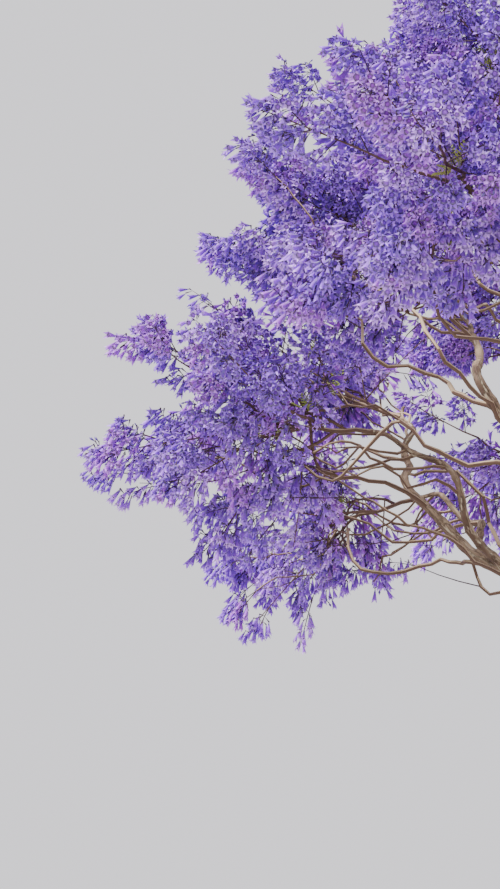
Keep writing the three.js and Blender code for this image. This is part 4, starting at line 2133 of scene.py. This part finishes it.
    def grow_twig(self, growth: Growth, twig: Twig, random: Random) -> None:
        """Grows one twig with its sprays and the small panicles along it.

        Args:
            growth: The mass that it belongs to.
            twig: The twig.
            random: The mass's generator.
        """
        points = twig.line.point(np.linspace(0, 1, max(6, round(twig.line.span / 80))))
        self.twigs.add(*self.crooked(points, self.twig, random))
        for spray in twig.sprays:
            self.grow_spray(growth, spray, random)
        for i in range(self.panicles_on_twig):
            at = mix(0.3, 0.97, (i + random.uniform(0.2, 0.8)) / self.panicles_on_twig)
            out = self.fanned(twig.line.tangent(at), i, self.twig_fan, random)
            shoot = Shoot(growth, twig.line.point(at), out, random)
            self.add_panicle(shoot, self.twig_run, self.shortest_twig_run)

    def add_panicle(self, shoot: Shoot, wished: Range, shortest: float) -> bool:
        """Grows a panicle if there is free way for it, and tells whether it has grown.

        Args:
            shoot: Where its stalk starts, and its direction.
            wished: Between which lengths the stalk's full one is drawn.
            shortest: The length from which it is worth growing.
        """
        run = self.free_run(shoot, shoot.random.uniform(*wished))
        return run > shortest and self.grow_panicle(shoot, run, None)

    def free_run(self, shoot: Shoot, most: float) -> float:
        """How far a shoot can run inside its mass's space and clear of wood.

        Args:
            shoot: Where it starts, and its direction.
            most: Its full length.

        Returns:
            The length that is free.
        """
        steps = np.linspace(0.15, 1, 12) * most
        points = shoot.start + shoot.out * steps[:, None]
        free = self.skeleton.in_space(shoot.growth.mass, points + shoot.out * 40, slack=0)
        free[2:] &= clear_of(points[2:], shoot.growth.near, 30)
        blocked = np.flatnonzero(~free)
        if not len(blocked):
            return most
        return float(steps[blocked[0] - 1]) if blocked[0] else 0.0

    def clear_of_hollows(self, growth: Growth, points: Array) -> Array:
        """Whether points lie outside the hollows below the twigs near a mass.

        Args:
            growth: The mass.
            points: The points, in millimetres.

        Returns:
            True for each that does.
        """
        serial = growth.mass.serial
        if serial not in self.hollows_near:
            middles, radii = self.hollows
            reach = growth.mass.size[0] + self.hollow_radius
            close = np.linalg.norm(middles - growth.mass.centre, axis=1) < reach
            self.hollows_near[serial] = (middles[close], radii[close])
        return clear_of(points, self.hollows_near[serial])

    def grow_spray(self, growth: Growth, spray: Spray, random: Random) -> None:
        """Grows one spray: an axis with panicles fanned round it, in the spray's space.

        Args:
            growth: The mass that it belongs to.
            spray: The spray's place.
            random: The mass's generator.
        """
        side, over, along = spray.axes
        length = 2 * spray.half[2]
        most = self.spray_sway
        sway = side * random.uniform(-most, most) + over * random.uniform(-most, most)
        share = np.array([0, 0.25, 0.5, 0.72])
        axis = spray.root + along * (share * length)[:, None] + sway * np.sin(share * 3.4)[:, None]
        self.twigs.add(axis, np.array(self.spray_radii))
        first = random.uniform(0, 360)
        shortest, longest = self.spray_run
        for i in range(self.panicles_in_spray):
            rank = i / (self.panicles_in_spray - 1)
            at = mix(*self.spray_roots, rank)
            start = spray.root + along * at * length + sway * math.sin(at * 3.4)
            turn = math.radians(first + GOLDEN_ANGLE * i)
            wobble = random.uniform(-self.spray_wobble, self.spray_wobble)
            wide = math.radians(mix(*self.spray_fan, rank) + wobble)
            out = fan_out(spray.axes, turn, wide)
            steps = np.linspace(0, 1, 25) * length
            inside = self.spray_depth(spray, start + out * steps[:, None]) < self.spray_skin
            run = float(steps[inside].max()) if inside.any() else 0.0
            if run > shortest:
                shoot = Shoot(growth, start, out, random)
                self.grow_panicle(shoot, min(run, longest), spray)

    def spray_depth(self, spray: Spray, points: Array) -> Array:
        """Where points lie in a spray's space: 0 is its middle, and 1 its skin."""
        local = np.abs((points - spray.centre) @ spray.axes.T) / spray.half
        return (local**self.fullness).sum(axis=-1) ** (1 / self.fullness)

    def in_crown(self, point: Array) -> bool:
        """Whether a point lies near a spray or in the crown's closed top."""
        topmost = np.linalg.norm(point[:2]) < self.top_reach and point[2] > self.top_height
        return bool(topmost) or self.depth_in_crown(point) < self.spray_reach

    def depth_in_crown(self, point: Array) -> float:
        """Where a point lies in the space of the spray that is the nearest to it.

        Args:
            point: The point, in millimetres.

        Returns:
            0 in the spray's middle, and 1 on its skin.
        """
        if self.spray_spaces is None:
            twigs = [twig for growth in self.skeleton.growths for twig in growth.twigs]
            sprays = [spray for twig in twigs for spray in twig.sprays]
            self.spray_spaces = (
                np.array([spray.centre for spray in sprays]),
                np.array([spray.axes for spray in sprays]),
                np.array([spray.half for spray in sprays]),
            )
        centres, axes, halves = self.spray_spaces
        local = np.abs(np.einsum("sij,sj->si", axes, point - centres)) / halves
        return float(((local**self.fullness).sum(axis=-1) ** (1 / self.fullness)).min())

    def has_room(self, shoot: Shoot, run: float, in_spray: bool) -> bool:
        """Whether a panicle grows here: in the crown, outside its heart, and by clumps.

        Args:
            shoot: Where its stalk starts, and its direction.
            run: The stalk's length.
            in_spray: True if it grows in a spray, whose place is already checked.

        Returns:
            True if it grows.
        """
        if not in_spray:
            middle = shoot.start + shoot.out * 0.6 * run
            if self.skeleton.heart_depth(middle) < 1 or not self.in_crown(middle):
                return False
        middle = shoot.start + shoot.out * 0.5 * run
        sparse = mix(*self.sparse_below, float(self.away_from_heart(middle[None])[0]))
        return noise.noise(Vector(middle / self.clump_size)) >= sparse

    def grow_panicle(self, shoot: Shoot, run: float, spray: Spray | None) -> bool:
        """Grows one panicle: a thin stalk with hanging flowers, calyces and buds.

        Args:
            shoot: Where its stalk starts, and its direction.
            run: The stalk's length.
            spray: The spray whose space it keeps to, or None for the mass's own space.

        Returns:
            Whether it has grown.
        """
        if not self.has_room(shoot, run, spray is not None):
            return False
        start, out, random = shoot.start, shoot.out, shoot.random
        rule = self.panicle
        share = np.array(rule.stalk_points)
        sag = UP * -rule.sag * run
        stalk = start + out * (share * run)[:, None] + sag * (share**2)[:, None]
        self.stalks.add(stalk, np.array(rule.stalk_radii))
        whorls = max(3, round(rule.flowered * run / rule.whorl_spacing))
        at = np.repeat(np.linspace(rule.first_whorl, 1, whorls), rule.whorl)
        count = len(at)
        at = np.clip(at + random.uniform(-rule.jitter, rule.jitter, count), rule.lowest_flower, 1)
        places = start + out * (at * run)[:, None] + sag * (at**2)[:, None]
        turn = random.uniform(0, 6.28) + np.arange(count) * math.radians(GOLDEN_ANGLE)
        outward = unit(places - shoot.growth.mass.centre)
        pedicel = unit(around(out, turn) * rule.pedicel_aside + out * rule.pedicel_along)
        reach = rule.pedicel * random.uniform(*rule.pedicel_range, count)
        bases = places + pedicel * reach[:, None]
        drop = random.uniform(*rule.drop_range, count)
        aims = unit(
            pedicel * rule.aim_pedicel + outward * rule.aim_outward + out * rule.aim_along
            - UP * drop[:, None]
        )
        sizes = rule.flower_length * random.uniform(*rule.flower_range, count)
        keep = self.fitting(shoot.growth, spray, bases, aims, bases + aims * sizes[:, None])
        keep &= random.random(count) < mix(self.fewest, 1.0, self.away_from_heart(places))
        budding = random.random(count) < rule.buds_at_root + rule.buds_at_tip * at**3
        spin = random.uniform(0, ROUND, count)
        open_now = keep & ~budding
        blooms = self.flowers[self.deal(random)]
        roots = bases - aims * rule.flower_sunk
        blooms.add(roots[open_now], aims[open_now], spin[open_now], sizes[open_now])
        calyces = reach * rule.calyx_share
        self.calyces.add(places[keep], pedicel[keep], spin[keep], calyces[keep])
        closed = keep & budding
        lengths = random.uniform(*rule.bud_length, count)
        roots = bases - pedicel * rule.bud_sunk
        drooping = unit(pedicel + aims * rule.bud_droop)
        self.buds.add(roots[closed], drooping[closed], spin[closed], lengths[closed])
        return True

    def fitting(
        self, growth: Growth, spray: Spray | None, bases: Array, aims: Array, tips: Array
    ) -> Array:
        """Which flowers of a panicle clear the wood and stay in their space.

        Args:
            growth: The mass that they belong to.
            spray: The spray whose space they keep to, or None for the mass's own space.
            bases: Where they start, in millimetres.
            aims: Their directions.
            tips: Where they end.

        Returns:
            True for each that does.
        """
        rule = self.panicle
        fits = clear_of(bases, growth.near, rule.root_clearance)
        fits &= clear_of(tips, growth.near, rule.tip_clearance)
        fits &= self.clear_of_hollows(growth, bases + aims * rule.throat_run)
        if spray is None:
            return fits & self.skeleton.in_space(growth.mass, tips, slack=rule.past_space)
        return fits & (self.spray_depth(spray, tips) < rule.past_spray)

    def away_from_heart(self, points: Array) -> Array:
        """From 0 by the crown's bare heart to 1 where the blossom is full."""
        low, high = self.thinning
        return np.clip((self.skeleton.heart_depth(points) - low) / (high - low), 0, 1)

    def deal(self, random: Random) -> Tint:
        """Draws one petal tint."""
        return list(Tint)[int(random.choice(len(Tint), p=TINT_SHARES))]

    def grow_leaves(self, growth: Growth, random: Random) -> None:
        """Grows a few tufts of young leaves on the twigs.

        Args:
            growth: The mass.
            random: The mass's generator.
        """
        for twig in growth.twigs[:: max(1, len(growth.twigs) // 2)]:
            at = random.uniform(0.35, 0.8)
            root = twig.line.point(at)
            along = twig.line.tangent(at)
            count = self.leaves_in_tuft
            turn = np.arange(count) * math.radians(GOLDEN_ANGLE)
            aims = unit(around(along, turn) + along * 0.6 + UP * 0.35)
            sizes = random.uniform(*self.leaf_length, count)
            self.leaves.add(np.repeat(root[None], count, axis=0), aims, turn * 2.0, sizes)


# The stage.


@dataclass(frozen=True)
class Studio:
    """The camera at the photograph's angle, the pale floor and the soft light."""

    camera_at: tuple[float, float, float] = (-2.13, -8.0, 0.4)
    elevation: float = 27.0
    lens: float = 72.9
    farthest: float = 200.0
    floor_radius: float = 30.0
    floor_sides: int = 64
    floor_drop: float = 0.002
    sun_strength: float = 8.6
    sun_width: float = 9.0
    sun_colour: tuple[float, float, float] = (1.0, 0.97, 0.94)
    sun_tilt: float = 42.0
    sun_heading: float = -50.0
    sky_colour: str = "#ECEAF0"
    sky_strength: float = 1.42

    def build(self) -> None:
        """Sets up the camera, the floor and the lights."""
        self.place_camera()
        self.lay_floor()
        self.light()

    def place_camera(self) -> None:
        """The camera below the crown's edge, looking up at it."""
        camera = bpy.data.objects.new("camera", bpy.data.cameras.new("camera"))
        camera.location = self.camera_at
        camera.rotation_euler = Euler((math.radians(90 + self.elevation), 0, 0))
        camera.data.lens = self.lens
        camera.data.clip_end = self.farthest
        bpy.context.scene.collection.objects.link(camera)
        bpy.context.scene.camera = camera

    def lay_floor(self) -> None:
        """A plain pale round floor, just below ground level."""
        sides = self.floor_sides
        rim = circle(even_turns(sides)) * self.floor_radius
        points = np.concatenate([[[0, 0, 0]], rim])
        ring = np.arange(sides)
        faces = np.stack([np.zeros(sides, int), 1 + ring, 1 + (ring + 1) % sides], axis=1)
        floor = mesh_object("floor", points - UP * self.floor_drop, faces=faces)
        floor.data.materials.append(PALE_FLOOR.material())

    def light(self) -> None:
        """A soft sun from the left and above, and an even pale sky."""
        sun = bpy.data.lights.new("key", "SUN")
        sun.energy = self.sun_strength
        sun.angle = math.radians(self.sun_width)
        sun.color = self.sun_colour
        lamp = bpy.data.objects.new("key", sun)
        turned = (math.radians(self.sun_tilt), 0, math.radians(self.sun_heading))
        lamp.rotation_euler = Euler(turned)
        bpy.context.scene.collection.objects.link(lamp)
        world = bpy.data.worlds.new("sky")
        world.use_nodes = True
        sky = node_of(world.node_tree, "ShaderNodeBackground")
        sky.inputs["Color"].default_value = linear(self.sky_colour)
        sky.inputs["Strength"].default_value = self.sky_strength
        bpy.context.scene.world = world


def main() -> None:
    """Builds the tree and its stage, and reports each piece."""
    logging.basicConfig(level=logging.INFO, format="%(message)s")
    Studio().build()
    skeleton = Skeleton()
    pieces = [*Wood(skeleton).build(), *Crown(skeleton).build()]
    total = 0
    for piece in pieces:
        faces = sum(len(polygon.vertices) - 2 for polygon in piece.data.polygons)
        total += faces
        LOG.info("%s: %s triangles", piece.name, faces)
    LOG.info("all: %s triangles", total)


if __name__ == "__main__":
    main()
